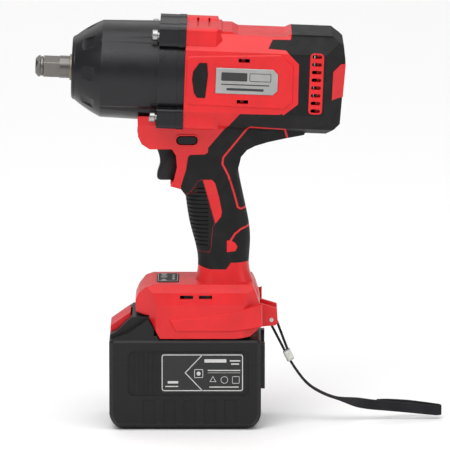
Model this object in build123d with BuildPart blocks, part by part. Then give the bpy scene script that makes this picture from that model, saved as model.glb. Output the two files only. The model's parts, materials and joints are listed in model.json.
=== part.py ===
from build123d import *
from math import acos, cos, degrees, pi, radians, sin, tan
import os

# A cordless impact wrench with a 1/2 inch square drive, standing on its slide-in battery.
# Row frame: origin on the floor under the middle of the battery, +Z up, nose towards -X.
# Everything above the grip is drawn about the drive axis, which leans nose-up.

# ---- driving dimensions (millimetres, degrees) ----
AXIS_HEIGHT = 276.7          # drive axis above the floor, at the joint of case and housing
BODY_TILT = 2.2              # nose-up lean of the drive axis
SQUARE = 12.7                # square drive, across flats
RUNNING = 0.05               # radial clearance of a running fit
THROUGH = 60.0               # reaches past either side of the tool, for cuts right through

NOSE_TIP = -116.0            # stations are measured along the drive axis from the case joint
CASE_FACE = -87.7
CONE_END = -64.5
FLANGE_FRONT = -20.6
COVER_FRONT = -5.5
REAR_END = 123.2
CASE_FACE_RADIUS = 25.0
BARREL_RADIUS = 37.7
BARREL_REAR_RADIUS = 38.8
FLANGE_RADIUS = 42.5
FLANGE_FLATS = 80.8          # height of the flange over its top and bottom flats
FLANGE_FLATS_CENTRE = -1.1
LUG_HALF_WIDTH = 8.4
LUG_CORNER = 3.0
SCREW_Y = 32.0               # the four case screws
SCREW_H = 31.7
SHANK_RADIUS = 8.7
SQUARE_TURN = 18.5           # the square rests turned by this much about its axis

GEAR_MODULE = 1.0
SUN_TEETH = 9
PLANET_TEETH = 18
RING_TEETH = SUN_TEETH + 2 * PLANET_TEETH
PLANETS = 3
CARRIER_RADIUS = GEAR_MODULE * (SUN_TEETH + PLANET_TEETH) / 2
PRESSURE_ANGLE = radians(20)
BACKLASH = 0.07              # each flank is thinned by this much at the pitch circle

STATOR_RADIUS = 29.0
STATOR_START = 38.0
STATOR_END = 74.0
STATOR_TEETH = 6
ROTOR_RADIUS = 12.5
MOTOR_SHAFT_RADIUS = 4.0
BEARING_RADIUS = 8.0
BEARING_WIDTH = 5.0
FAN_START = 84.0
FAN_END = 97.0

WALL = 3.6                   # housing wall, overmould included
SKIN = 1.8                   # overmould thickness
BODY_HALF_WIDTH = 43.0
FOOT_TOP = 113.6
BATTERY_TOP = 71.0
BATTERY_LENGTH = 118.0

# ---- reference planes and axes ----
LEAN_COS = cos(radians(BODY_TILT))
LEAN_SIN = sin(radians(BODY_TILT))
AXIS_DIR = (LEAN_COS, 0, -LEAN_SIN)
UP_DIR = (LEAN_SIN, 0, LEAN_COS)
DRIVE_AXIS = Axis((0, 0, AXIS_HEIGHT), AXIS_DIR)


def axis_point(s, y=0.0, h=0.0):
    """Row-frame point at station s, y across and h above the drive axis."""
    return (s * LEAN_COS + h * LEAN_SIN, y, AXIS_HEIGHT - s * LEAN_SIN + h * LEAN_COS)


def station(s):
    """Plane across the drive axis at station s: x is across, y is up, normal to the rear."""
    return Plane(origin=axis_point(s), x_dir=(0, 1, 0), z_dir=AXIS_DIR)


def flank(y=0.0):
    """Plane along the drive axis at y: x is the station, y is up, normal towards -Y."""
    return Plane(origin=axis_point(0, y), x_dir=AXIS_DIR, z_dir=(0, -1, 0))


def deck(h=0.0):
    """Plane along the drive axis at height h: x is the station, y is across, normal up."""
    return Plane(origin=axis_point(0, 0, h), x_dir=AXIS_DIR, z_dir=UP_DIR)


def side(y=0.0):
    """Upright plane of the row frame at y: x is X, y is Z, normal towards -Y."""
    return Plane.XZ.offset(-y)


def front(x=0.0):
    """Upright plane of the row frame at x: x is Y, y is Z, normal towards +X."""
    return Plane.YZ.offset(x)


def level(z=0.0):
    """Level plane of the row frame at height z."""
    return Plane.XY.offset(z)


def ring(plane, outer, inner=0.0):
    """Disc or ring sketched about the origin of a plane."""
    with BuildSketch(plane) as profile:
        Circle(outer)
        if inner:
            Circle(inner, mode=Mode.SUBTRACT)
    return profile.sketch


def outline(plane, points, inset=0.0):
    """Closed straight-sided outline, shrunk by inset."""
    with BuildSketch(plane) as profile:
        with BuildLine():
            Polyline(*points, close=True)
        make_face()
        if inset:
            offset(amount=-inset, kind=Kind.INTERSECTION)
    return profile.sketch


def mirrored(half):
    """Outline points of a half section, followed by their mirror images across x = 0."""
    return half + [(-x, y) for x, y in reversed(half)]


def write(part, label):
    """Label a finished piece and write its STEP file."""
    part.label = label
    export_step(part, f"parts/{label}.step")


os.makedirs("parts", exist_ok=True)

# ---- drive end ----
ANVIL_EAR_FRONT = -61.2
ANVIL_REAR = -52.5
EAR_RADIUS = 19.5
EAR_WIDTH = 9.0
ANVIL_HUB_RADIUS = 11.0
PILOT_RADIUS = 5.0
PILOT_DEPTH = 6.0
RING_STATION = -111.0        # friction ring groove
RING_GROOVE_WIDTH = 2.6
RING_GROOVE_RADIUS = 5.2
SQUARE_END = CASE_FACE - 9.0
TIP_RADIUS = 6.8             # rounded lead-in of the square
CORNER_RADIUS = 8.6          # the corners of the square are turned down to this
BUSHING_RADIUS = 10.1
BUSHING_FRONT = CASE_FACE - 1.8
BUSHING_FLANGE = -64.0
BUSHING_FLANGE_RADIUS = 13.0
BUSHING_FLANGE_WIDTH = 2.6

with BuildPart() as anvil:
    with BuildSketch(station(NOSE_TIP)):
        Rectangle(SQUARE, SQUARE, rotation=SQUARE_TURN)
    extrude(amount=SQUARE_END - NOSE_TIP)
    with BuildSketch(flank()):
        with BuildLine():
            Polyline((NOSE_TIP, 0), (NOSE_TIP, TIP_RADIUS - 1.0), (NOSE_TIP + 2.4, CORNER_RADIUS),
                     (SQUARE_END, CORNER_RADIUS), (SQUARE_END, 0), close=True)
        make_face()
    revolve(axis=DRIVE_AXIS, mode=Mode.INTERSECT)
    extrude(ring(station(SQUARE_END - 0.5), SHANK_RADIUS), amount=ANVIL_EAR_FRONT - SQUARE_END + 0.5)
    extrude(ring(station(ANVIL_EAR_FRONT), ANVIL_HUB_RADIUS), amount=ANVIL_REAR - ANVIL_EAR_FRONT)
    with BuildSketch(station(ANVIL_EAR_FRONT)):
        Rectangle(2 * EAR_RADIUS, EAR_WIDTH)
        Circle(EAR_RADIUS, mode=Mode.INTERSECT)
    extrude(amount=ANVIL_REAR - ANVIL_EAR_FRONT)
    extrude(ring(station(ANVIL_REAR - PILOT_DEPTH), PILOT_RADIUS + RUNNING), amount=PILOT_DEPTH,
            mode=Mode.SUBTRACT)
    with BuildSketch(station(RING_STATION - RING_GROOVE_WIDTH / 2)):
        Circle(SQUARE)
        Circle(RING_GROOVE_RADIUS, mode=Mode.SUBTRACT)
    extrude(amount=RING_GROOVE_WIDTH, mode=Mode.SUBTRACT)
write(anvil.part, "anvil")

with BuildPart() as anvil_o_ring:
    with BuildSketch(flank()):
        with Locations((RING_STATION, RING_GROOVE_RADIUS + 0.6)):
            Circle(0.55)
    revolve(axis=DRIVE_AXIS)
write(anvil_o_ring.part, "anvil_o_ring")

with BuildPart() as friction_ring:
    with BuildSketch(flank()):
        with Locations((RING_STATION, RING_GROOVE_RADIUS + 1.9)):
            RectangleRounded(2.2, 1.2, 0.4)
    revolve(axis=DRIVE_AXIS, revolution_arc=320)
write(friction_ring.part, "friction_ring")

with BuildPart() as anvil_bushing:
    extrude(ring(station(BUSHING_FRONT), BUSHING_RADIUS), amount=BUSHING_FLANGE - BUSHING_FRONT)
    extrude(ring(station(BUSHING_FLANGE), BUSHING_FLANGE_RADIUS), amount=BUSHING_FLANGE_WIDTH)
    extrude(ring(station(BUSHING_FRONT), SHANK_RADIUS + RUNNING), amount=BUSHING_FLANGE - BUSHING_FRONT
            + BUSHING_FLANGE_WIDTH, mode=Mode.SUBTRACT)
    chamfer(anvil_bushing.edges().filter_by(GeomType.CIRCLE).sort_by(DRIVE_AXIS)[0], 0.4)
write(anvil_bushing.part, "anvil_bushing")


def flange_outline(plane, grow=0.0):
    """Outline shared by the case flange and the gear case cover: a ring with four screw lugs."""
    lug = LUG_HALF_WIDTH + grow
    with BuildSketch(plane) as profile:
        Circle(FLANGE_RADIUS + grow)
        with Locations((0, FLANGE_FLATS_CENTRE)):
            Rectangle(3 * FLANGE_RADIUS, FLANGE_FLATS + 2 * grow, mode=Mode.INTERSECT)
        with GridLocations(2 * SCREW_Y, 2 * SCREW_H, 2, 2):
            RectangleRounded(2 * lug, 2 * lug - 1, LUG_CORNER)
    return profile.sketch


CASE_BORE = 33.0
CASE_BORE_FRONT = -58.0
DRIVER_GROOVE_RADIUS = 7.6
CASE_SCREW_HOLE = 2.6
CASE_SCREW_RADIUS = 2.4
CASE_SCREW_LENGTH = 38.0
CASE_SCREW_HEAD_RADIUS = 4.3
with BuildPart() as hammer_case:
    with BuildSketch(flank()):
        with BuildLine():
            Polyline((FLANGE_FRONT, 0), (CASE_FACE, 0), (CASE_FACE, CASE_FACE_RADIUS - 2.5))
            RadiusArc((CASE_FACE, CASE_FACE_RADIUS - 2.5), (CASE_FACE + 2.6, CASE_FACE_RADIUS), 3.0)
            RadiusArc((CASE_FACE + 2.6, CASE_FACE_RADIUS), (CONE_END, BARREL_RADIUS), 90.0)
            Polyline((CONE_END, BARREL_RADIUS), (FLANGE_FRONT, BARREL_REAR_RADIUS), (FLANGE_FRONT, 0))
        make_face()
    revolve(axis=DRIVE_AXIS)
    extrude(flange_outline(station(FLANGE_FRONT)), amount=COVER_FRONT - FLANGE_FRONT)
    # clearance grooves for the screwdriver, open towards the nose
    with BuildSketch(station(CASE_FACE)):
        with GridLocations(2 * SCREW_Y, 2 * SCREW_H, 2, 2):
            Circle(DRIVER_GROOVE_RADIUS)
    extrude(amount=FLANGE_FRONT - 1.4 - CASE_FACE, mode=Mode.SUBTRACT)
    with BuildSketch(station(FLANGE_FRONT - 2)):
        with GridLocations(2 * SCREW_Y, 2 * SCREW_H, 2, 2):
            Circle(CASE_SCREW_HOLE)
    extrude(amount=COVER_FRONT - FLANGE_FRONT + 2, mode=Mode.SUBTRACT)
    extrude(ring(station(CASE_FACE - 1), BUSHING_RADIUS), amount=30, mode=Mode.SUBTRACT)
    extrude(ring(station(BUSHING_FLANGE), BUSHING_FLANGE_RADIUS + RUNNING), amount=5, mode=Mode.SUBTRACT)
    extrude(ring(station(ANVIL_EAR_FRONT - 0.1), CASE_BORE - 2), amount=9, mode=Mode.SUBTRACT)
    extrude(ring(station(CASE_BORE_FRONT), CASE_BORE), amount=-CASE_BORE_FRONT, mode=Mode.SUBTRACT)
SCALLOP_STATION = -76.6
SCALLOP_WIDTH = 10.4
SCALLOPS = 8
with BuildPart() as scallop_cutter:
    with BuildSketch(flank()):
        with BuildLine():
            ThreePointArc((SCALLOP_STATION - 6.6, 28.5), (SCALLOP_STATION + 0.6, 30.2),
                          (SCALLOP_STATION + 7.4, 35.6))
            Line((SCALLOP_STATION + 7.4, 35.6), (SCALLOP_STATION - 6.6, 38.0))
            Line((SCALLOP_STATION - 6.6, 38.0), (SCALLOP_STATION - 6.6, 28.5))
        make_face()
    extrude(amount=SCALLOP_WIDTH / 2, both=True)
    fillet(scallop_cutter.edges().filter_by(GeomType.LINE).group_by(SortBy.LENGTH)[0], 2.4)
scallop_cutters = [scallop_cutter.part.rotate(DRIVE_AXIS, 360 * turn / SCALLOPS) for turn in range(SCALLOPS)]
with BuildPart() as hammer_case_finished:
    add(hammer_case.part)
    add(scallop_cutters, mode=Mode.SUBTRACT)
write(hammer_case_finished.part, "hammer_case")

SCREW_HEAD_START = -26.4
SCREW_HEAD_END = -22.0
with BuildPart() as case_screws:
    with BuildSketch(station(SCREW_HEAD_START)):
        with GridLocations(2 * SCREW_Y, 2 * SCREW_H, 2, 2):
            Circle(CASE_SCREW_HEAD_RADIUS)
    extrude(amount=SCREW_HEAD_END - SCREW_HEAD_START)
    chamfer(case_screws.edges().group_by(DRIVE_AXIS)[0], 0.8)
    with BuildSketch(station(SCREW_HEAD_END)):
        with GridLocations(2 * SCREW_Y, 2 * SCREW_H, 2, 2):
            Circle(CASE_SCREW_RADIUS)
    extrude(amount=CASE_SCREW_LENGTH)
    with BuildSketch(station(SCREW_HEAD_START)):
        with GridLocations(2 * SCREW_Y, 2 * SCREW_H, 2, 2):
            RegularPolygon(2.3, 6)
    extrude(amount=2.6, mode=Mode.SUBTRACT)
write(case_screws.part, "case_screws")

# ---- gear case cover: plate behind the case with the ring gear cup and the motor bearing hub ----
CUP_FRONT = -20.4
CUP_BORE = 27.0
HUB_RADIUS = 12.0
HUB_END = 8.0
FRONT_BEARING_START = 1.6
SHAFT_CLEARANCE = 6.5        # hole in the cover that the pinion passes through
with BuildPart() as gear_case_cover:
    extrude(flange_outline(station(COVER_FRONT), 0.3), amount=-COVER_FRONT)
    extrude(ring(station(CUP_FRONT), CASE_BORE - RUNNING, CUP_BORE), amount=COVER_FRONT - CUP_FRONT + 1)
    extrude(ring(station(0), HUB_RADIUS), amount=HUB_END)
    extrude(ring(station(FRONT_BEARING_START), BEARING_RADIUS), amount=HUB_END, mode=Mode.SUBTRACT)
    extrude(ring(station(COVER_FRONT - 1.5), SHAFT_CLEARANCE), amount=HUB_END + 1, mode=Mode.SUBTRACT)
    with BuildSketch(station(COVER_FRONT)):
        with GridLocations(2 * SCREW_Y, 2 * SCREW_H, 2, 2):
            Circle(CASE_SCREW_HOLE)
    extrude(amount=-COVER_FRONT, mode=Mode.SUBTRACT)
write(gear_case_cover.part, "gear_case_cover")

# ---- impact mechanism ----
HAMMER_FRONT = -50.5
HAMMER_REAR = -33.0
HAMMER_RADIUS = 28.5
DOG_LENGTH = 7.5
SPRING_POCKET_FLOOR = -43.0
SPRING_RADIUS = 17.5
SPRING_WIRE = 1.1
SHAFT_RADIUS = 9.0
WASHER_FRONT = -24.0
WASHER_REAR = -22.05
BALL_STATION = -43.5
BALL_RADIUS = 2.6
BALL_SEAT_RADIUS = BALL_RADIUS + 0.1
DOG_WIDTH = 13.0
DOG_RADIUS = 20.5
DOG_BORE = 12.0
SPRING_POCKET = (21.5, 13.2)  # outer and inner radius

with BuildPart() as hammer:
    extrude(ring(station(HAMMER_FRONT), HAMMER_RADIUS), amount=HAMMER_REAR - HAMMER_FRONT)
    chamfer(hammer.edges().filter_by(GeomType.CIRCLE), 1.2)
    with BuildSketch(station(HAMMER_FRONT)):
        Rectangle(DOG_WIDTH, 2 * DOG_RADIUS)
        Circle(DOG_RADIUS, mode=Mode.INTERSECT)
        Circle(DOG_BORE, mode=Mode.SUBTRACT)
    extrude(amount=-DOG_LENGTH)
    extrude(ring(station(HAMMER_FRONT), SHAFT_RADIUS + RUNNING), amount=20, mode=Mode.SUBTRACT)
    extrude(ring(station(SPRING_POCKET_FLOOR), *SPRING_POCKET), amount=20, mode=Mode.SUBTRACT)
    with BuildSketch(station(HAMMER_FRONT)):
        with PolarLocations(SHAFT_RADIUS, 2, 90):
            Circle(BALL_SEAT_RADIUS)
    extrude(amount=BALL_STATION - HAMMER_FRONT + BALL_RADIUS + 0.2, mode=Mode.SUBTRACT)
write(hammer.part, "hammer")

CARRIER_FRONT = -22.0
CARRIER_REAR = -14.8
CARRIER_FLANGE_RADIUS = 21.0
CARRIER_JOURNAL_RADIUS = 18.0
CARRIER_JOURNAL_START = -19.6
PILOT_FRONT = -58.0
PIN_RADIUS = 2.5
PIN_FRONT = -19.0
GEAR_START = -13.8
GEAR_END = -6.6
with BuildPart() as spindle:
    extrude(ring(station(PILOT_FRONT), PILOT_RADIUS), amount=7)
    extrude(ring(station(PILOT_FRONT + 6), SHAFT_RADIUS), amount=CARRIER_FRONT - PILOT_FRONT - 6)
    extrude(ring(station(CARRIER_FRONT), CARRIER_FLANGE_RADIUS), amount=CARRIER_JOURNAL_START - CARRIER_FRONT)
    extrude(ring(station(CARRIER_JOURNAL_START), CARRIER_JOURNAL_RADIUS),
            amount=CARRIER_REAR - CARRIER_JOURNAL_START)
    with BuildSketch(station(PIN_FRONT)):
        with PolarLocations(CARRIER_RADIUS, PLANETS):
            Circle(PIN_RADIUS)
    extrude(amount=6, mode=Mode.SUBTRACT)
    extrude(ring(station(-17.0), SHAFT_CLEARANCE), amount=6, mode=Mode.SUBTRACT)
    with BuildSketch(station(BALL_STATION - BALL_SEAT_RADIUS)):
        with PolarLocations(SHAFT_RADIUS, 2, 90):
            Circle(BALL_SEAT_RADIUS)
    extrude(amount=2 * BALL_SEAT_RADIUS, mode=Mode.SUBTRACT)
write(spindle.part, "spindle")

with BuildPart() as cam_balls:
    with BuildSketch(flank()):
        with BuildLine():
            CenterArc((BALL_STATION, SHAFT_RADIUS), BALL_RADIUS, 0, 180)
            Line((BALL_STATION - BALL_RADIUS, SHAFT_RADIUS), (BALL_STATION + BALL_RADIUS, SHAFT_RADIUS))
        make_face()
    revolve(axis=Axis(axis_point(0, 0, SHAFT_RADIUS), AXIS_DIR))
    add(cam_balls.part.rotate(DRIVE_AXIS, 180))
write(cam_balls.part, "cam_balls")

SPRING_START = SPRING_POCKET_FLOOR + SPRING_WIRE + 0.05
SPRING_LENGTH = WASHER_FRONT - SPRING_START - SPRING_WIRE - 0.05
with BuildPart() as hammer_spring:
    with BuildLine():
        spring_coil = Helix(SPRING_LENGTH / 3.5, SPRING_LENGTH, SPRING_RADIUS,
                            center=axis_point(SPRING_START), direction=AXIS_DIR)
    with BuildSketch(Plane(origin=spring_coil @ 0, z_dir=spring_coil % 0)):
        Circle(SPRING_WIRE)
    sweep(path=spring_coil)
write(hammer_spring.part, "hammer_spring")

with BuildPart() as spring_washer:
    extrude(ring(station(WASHER_FRONT), CARRIER_FLANGE_RADIUS, SHAFT_RADIUS + RUNNING),
            amount=WASHER_REAR - WASHER_FRONT)
write(spring_washer.part, "spring_washer")

SPINDLE_BEARING_START = -19.4
SPINDLE_BEARING_WIDTH = 4.4
SEAL_DEPTH = 0.5
with BuildPart() as spindle_bearing:
    extrude(ring(station(SPINDLE_BEARING_START), CUP_BORE, CARRIER_JOURNAL_RADIUS + RUNNING),
            amount=SPINDLE_BEARING_WIDTH)
    extrude(ring(station(SPINDLE_BEARING_START), 24.0, 21.2), amount=SEAL_DEPTH, mode=Mode.SUBTRACT)
write(spindle_bearing.part, "spindle_bearing")


# ---- planetary gears ----
def involute(angle):
    """Involute function of a pressure angle in radians."""
    return tan(angle) - angle


def gear_outline(plane, teeth, tip, root, thinning, first_tooth=0.0):
    """Spur gear outline with involute flanks; first_tooth is the angle of a tooth in degrees."""
    pitch = GEAR_MODULE * teeth / 2
    base = pitch * cos(PRESSURE_ANGLE)
    low = max(base, root)
    half_tooth = pi / (2 * teeth) - thinning / pitch + involute(PRESSURE_ANGLE)
    points = []
    for tooth in range(teeth):
        middle = radians(first_tooth) + 2 * pi * tooth / teeth
        flank_points = []
        for step in range(4):
            radius = low + (tip - low) * step / 3
            half = half_tooth - involute(acos(min(1.0, base / radius)))
            flank_points.append((radius, half))
        if root < low:
            flank_points.insert(0, (root, flank_points[0][1]))
        points += [(r * cos(middle - a), r * sin(middle - a)) for r, a in flank_points]
        points += [(r * cos(middle + a), r * sin(middle + a)) for r, a in reversed(flank_points)]
    return outline(plane, points)


SUN_PITCH = GEAR_MODULE * SUN_TEETH / 2
PLANET_PITCH = GEAR_MODULE * PLANET_TEETH / 2
RING_PITCH = GEAR_MODULE * RING_TEETH / 2
ADDENDUM = 0.75 * GEAR_MODULE
DEDENDUM = 1.15 * GEAR_MODULE
PLANET_TOOTH_ANGLE = 180 / PLANET_TEETH
RING_TOOTH_ANGLE = 180 / RING_TEETH

for number in range(PLANETS):
    turn = 2 * pi * number / PLANETS
    centre = axis_point(GEAR_START, CARRIER_RADIUS * cos(turn), CARRIER_RADIUS * sin(turn))
    planet_plane = Plane(origin=centre, x_dir=(0, 1, 0), z_dir=AXIS_DIR)
    with BuildPart() as planet_gear:
        extrude(gear_outline(planet_plane, PLANET_TEETH, PLANET_PITCH + ADDENDUM,
                             PLANET_PITCH - DEDENDUM, BACKLASH, PLANET_TOOTH_ANGLE),
                amount=GEAR_END - GEAR_START)
        extrude(ring(planet_plane, PIN_RADIUS + RUNNING), amount=GEAR_END - GEAR_START,
                mode=Mode.SUBTRACT)
    write(planet_gear.part, f"planet_gear_{number + 1}")

with BuildPart() as planet_pins:
    with BuildSketch(station(PIN_FRONT)):
        with PolarLocations(CARRIER_RADIUS, PLANETS):
            Circle(PIN_RADIUS)
    extrude(amount=GEAR_END - PIN_FRONT)
write(planet_pins.part, "planet_pins")

with BuildPart() as ring_gear:
    extrude(ring(station(GEAR_START), CUP_BORE), amount=COVER_FRONT - GEAR_START - 0.1)
    extrude(gear_outline(station(GEAR_START), RING_TEETH, RING_PITCH + DEDENDUM,
                         RING_PITCH - ADDENDUM, -BACKLASH, RING_TOOTH_ANGLE),
            amount=10, mode=Mode.SUBTRACT)
write(ring_gear.part, "ring_gear")

# ---- motor ----
SHAFT_END = 106.5
REAR_BEARING_START = 101.0
SHAFT_SHOULDER = FRONT_BEARING_START - 0.8
ROTOR_START = STATOR_START - 2.0
ROTOR_LENGTH = STATOR_END - STATOR_START + 4.0
MAGNETS = 4
MAGNET_PLACE = 9.4           # distance of the magnets from the drive axis
MAGNET_SLOT = (2.4, 10.0)
MAGNET_SLACK = 0.1
with BuildPart() as rotor_shaft:
    extrude(gear_outline(station(GEAR_START), SUN_TEETH, SUN_PITCH + ADDENDUM,
                         SUN_PITCH - DEDENDUM, BACKLASH), amount=GEAR_END - GEAR_START)
    extrude(ring(station(GEAR_END), SUN_PITCH - DEDENDUM), amount=FRONT_BEARING_START - GEAR_END)
    extrude(ring(station(SHAFT_SHOULDER), MOTOR_SHAFT_RADIUS), amount=SHAFT_END - SHAFT_SHOULDER)
write(rotor_shaft.part, "rotor_shaft")

with BuildPart() as rotor_core:
    extrude(ring(station(ROTOR_START), ROTOR_RADIUS, MOTOR_SHAFT_RADIUS), amount=ROTOR_LENGTH)
    with BuildSketch(station(ROTOR_START)):
        with PolarLocations(MAGNET_PLACE, MAGNETS):
            Rectangle(*MAGNET_SLOT)
    extrude(amount=ROTOR_LENGTH, mode=Mode.SUBTRACT)
write(rotor_core.part, "rotor_core")

with BuildPart() as rotor_magnets:
    with BuildSketch(station(ROTOR_START + 1)):
        with PolarLocations(MAGNET_PLACE, MAGNETS):
            Rectangle(MAGNET_SLOT[0] - MAGNET_SLACK, MAGNET_SLOT[1] - MAGNET_SLACK)
    extrude(amount=ROTOR_LENGTH - 2)
write(rotor_magnets.part, "rotor_magnets")

FAN_RADIUS = 28.0
FAN_HUB_RADIUS = 9.0
FAN_DISC = 1.6
FAN_BLADES = 15
FAN_BLADE = (19.5, 1.2)
FAN_BLADE_TURN = 28.0
with BuildPart() as cooling_fan:
    extrude(ring(station(FAN_START), FAN_HUB_RADIUS, MOTOR_SHAFT_RADIUS), amount=FAN_END - FAN_START)
    extrude(ring(station(FAN_START), FAN_RADIUS, MOTOR_SHAFT_RADIUS), amount=FAN_DISC)
    with BuildSketch(station(FAN_START)):
        with PolarLocations((FAN_RADIUS + FAN_HUB_RADIUS) / 2 - 0.5, FAN_BLADES):
            Rectangle(*FAN_BLADE, rotation=FAN_BLADE_TURN)
        Circle(FAN_RADIUS, mode=Mode.INTERSECT)
        Circle(FAN_HUB_RADIUS - 0.5, mode=Mode.SUBTRACT)
    extrude(amount=FAN_END - FAN_START - 1)
write(cooling_fan.part, "cooling_fan")

COIL_DEPTH = 4.4
COIL_RADIAL = 6.3
TOOTH_WIDTH = 7.0
TOOTH_INNER = 16.5
TOOTH_OUTER = 25.5
TOOTH_MIDDLE = (TOOTH_INNER + TOOTH_OUTER) / 2
TOOTH_TIP = (3.4, 11.5)
TOOTH_TIP_PLACE = 15.0
AIR_GAP = 0.5
COIL_SIDE = 2.6              # width of the winding on either side of its tooth
COIL_PLACE = TOOTH_MIDDLE + 0.4
with BuildPart() as stator_core:
    with BuildSketch(station(STATOR_START)):
        Circle(STATOR_RADIUS)
        Circle(TOOTH_OUTER, mode=Mode.SUBTRACT)
        with PolarLocations(TOOTH_MIDDLE, STATOR_TEETH):
            Rectangle(TOOTH_OUTER - TOOTH_INNER + 2, TOOTH_WIDTH)
        with PolarLocations(TOOTH_TIP_PLACE, STATOR_TEETH):
            Rectangle(*TOOTH_TIP)
        Circle(ROTOR_RADIUS + AIR_GAP, mode=Mode.SUBTRACT)
    extrude(amount=STATOR_END - STATOR_START)
write(stator_core.part, "stator_core")

with BuildPart() as stator_coils:
    with BuildSketch(station(STATOR_START - COIL_DEPTH)):
        with PolarLocations(COIL_PLACE, STATOR_TEETH):
            Rectangle(COIL_RADIAL, TOOTH_WIDTH + 2 * COIL_SIDE)
    extrude(amount=STATOR_END - STATOR_START + 2 * COIL_DEPTH)
    fillet(stator_coils.edges().filter_by(lambda e: abs(e.length - COIL_RADIAL) < 0.01), 2.0)
    with BuildSketch(station(STATOR_START - 0.1)):
        with PolarLocations(COIL_PLACE, STATOR_TEETH):
            Rectangle(COIL_RADIAL + 2, TOOTH_WIDTH + 0.1)
    extrude(amount=STATOR_END - STATOR_START + 0.2, mode=Mode.SUBTRACT)
write(stator_coils.part, "stator_coils")

for bearing_name, bearing_start in (("front_bearing", FRONT_BEARING_START),
                                    ("rear_bearing", REAR_BEARING_START)):
    with BuildPart() as bearing:
        extrude(ring(station(bearing_start), BEARING_RADIUS, MOTOR_SHAFT_RADIUS + RUNNING),
                amount=BEARING_WIDTH)
        extrude(ring(station(bearing_start), 6.9, 5.1), amount=SEAL_DEPTH, mode=Mode.SUBTRACT)
    write(bearing.part, bearing_name)

# ---- outer form of the housing ----
BODY_TOP = [(27.0, 37.6), (27.8, 36.4), (35.0, 36.4), (40.0, 33.9), (76.0, 33.9), (80.5, 36.1),
            (112.4, 36.1)]
BODY_REAR = [(121.5, 29.0), (REAR_END, 17.7), (120.8, -31.9), (110.5, -41.3)]
BODY_HALF_SECTION = [(30.0, 50.0), (30.0, 34.6), (BODY_HALF_WIDTH, 22.5), (BODY_HALF_WIDTH, -25.0),
                     (34.0, -36.5), (22.0, -41.3), (22.0, -50.0)]
BODY_HALF_PLAN = [(BODY_HALF_WIDTH, -20.0), (BODY_HALF_WIDTH, 108.0), (30.0, 122.0), (28.0, 130.0)]
NECK_SIDE = [(-36.6, 245.0), (-36.3, 229.0), (-33.5, 222.8), (-27.4, 218.6), (-10.0, 218.6),
             (-7.0, 213.5), (-6.2, 204.0), (-8.8, 192.9), (-11.4, 191.6), (-11.0, 188.9), (-3.3, 186.9),
             (0.4, 182.0), (25.0, 182.0), (41.2, 203.0), (43.5, 212.5), (48.1, 218.0), (54.3, 221.3),
             (64.4, 224.5), (77.6, 227.5), (92.0, 230.3), (100.0, 245.0)]
NECK_HALF_SECTION = [(25.0, 250.0), (25.0, 238.0), (19.0, 214.0), (16.6, 180.0)]
# height, front edge, rear edge and half width of the grip
GRIP_SECTIONS = [(214.0, -4.0, 44.4, 17.2), (203.0, -2.0, 41.2, 17.0), (190.0, -1.2, 43.0, 16.6),
                 (176.0, 0.8, 46.0, 16.4), (160.0, 3.3, 49.3, 16.6), (142.0, 8.0, 50.5, 17.2),
                 (126.0, 9.9, 49.6, 18.2), (113.0, 8.4, 52.8, 20.5), (100.0, 4.0, 57.0, 25.0)]
FOOT_SIDE = [(-25.0, FOOT_TOP), (52.2, FOOT_TOP), (55.4, 106.5), (58.2, 97.0), (56.6, 78.5),
             (50.4, 73.6), (38.7, 72.3), (-19.5, 72.3), (-24.9, 82.7), (-28.0, 88.2), (-31.9, 89.9),
             (-38.4, 91.4), (-38.7, 100.2), (-36.2, 105.7), (-31.5, 111.0)]
FOOT_HALF_SECTION = [(27.5, FOOT_TOP + 5), (27.5, FOOT_TOP), (33.5, 108.0), (36.2, 99.0), (36.2, 60.0)]
FOOT_HALF_PLAN = [(21.0, -45.0), (21.0, -38.7), (36.5, -22.0), (36.5, 44.0), (28.0, 58.5),
                  (26.0, 65.0)]


def swapped(points):
    """Plan outline given as (half width, along) turned into (along, across)."""
    return [(along, across) for across, along in mirrored(points)]


def body_block(inset=0.0, start=0.0):
    """Faceted motor body between station start and the rear, shrunk by inset."""
    profile = [(start, 37.6)] + BODY_TOP + BODY_REAR + [(start, -41.3)]
    with BuildPart() as block:
        extrude(outline(flank(), profile, inset), amount=THROUGH, both=True)
        extrude(outline(station(0), mirrored(BODY_HALF_SECTION), inset), amount=140, both=True,
                mode=Mode.INTERSECT)
        extrude(outline(deck(), swapped(BODY_HALF_PLAN), inset), amount=80, both=True,
                mode=Mode.INTERSECT)
    return block.part


def grip_block(inset=0.0):
    """Rounded grip, shrunk by inset."""
    with BuildPart() as grip:
        for height, front_edge, rear_edge, half_width in GRIP_SECTIONS:
            with BuildSketch(level(height)):
                with Locations(((front_edge + rear_edge) / 2, 0)):
                    RectangleRounded(rear_edge - front_edge - 2 * inset, 2 * (half_width - inset),
                                     13.5 - inset)
        loft()
    return grip.part


def handle_block(inset=0.0):
    """Neck under the body, grip and foot, shrunk by inset."""
    with BuildPart() as neck:
        extrude(outline(side(), NECK_SIDE, inset), amount=40, both=True)
        extrude(outline(front(), mirrored(NECK_HALF_SECTION), inset), amount=140, both=True,
                mode=Mode.INTERSECT)
    with BuildPart() as foot:
        extrude(outline(side(), FOOT_SIDE, inset), amount=40, both=True)
        extrude(outline(front(), mirrored(FOOT_HALF_SECTION), inset), amount=80, both=True,
                mode=Mode.INTERSECT)
        extrude(outline(level(), swapped(FOOT_HALF_PLAN), inset), amount=150, mode=Mode.INTERSECT)
    with BuildPart() as handle:
        add(neck.part)
        add(grip_block(inset))
        add(foot.part)
    return handle.part


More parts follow.
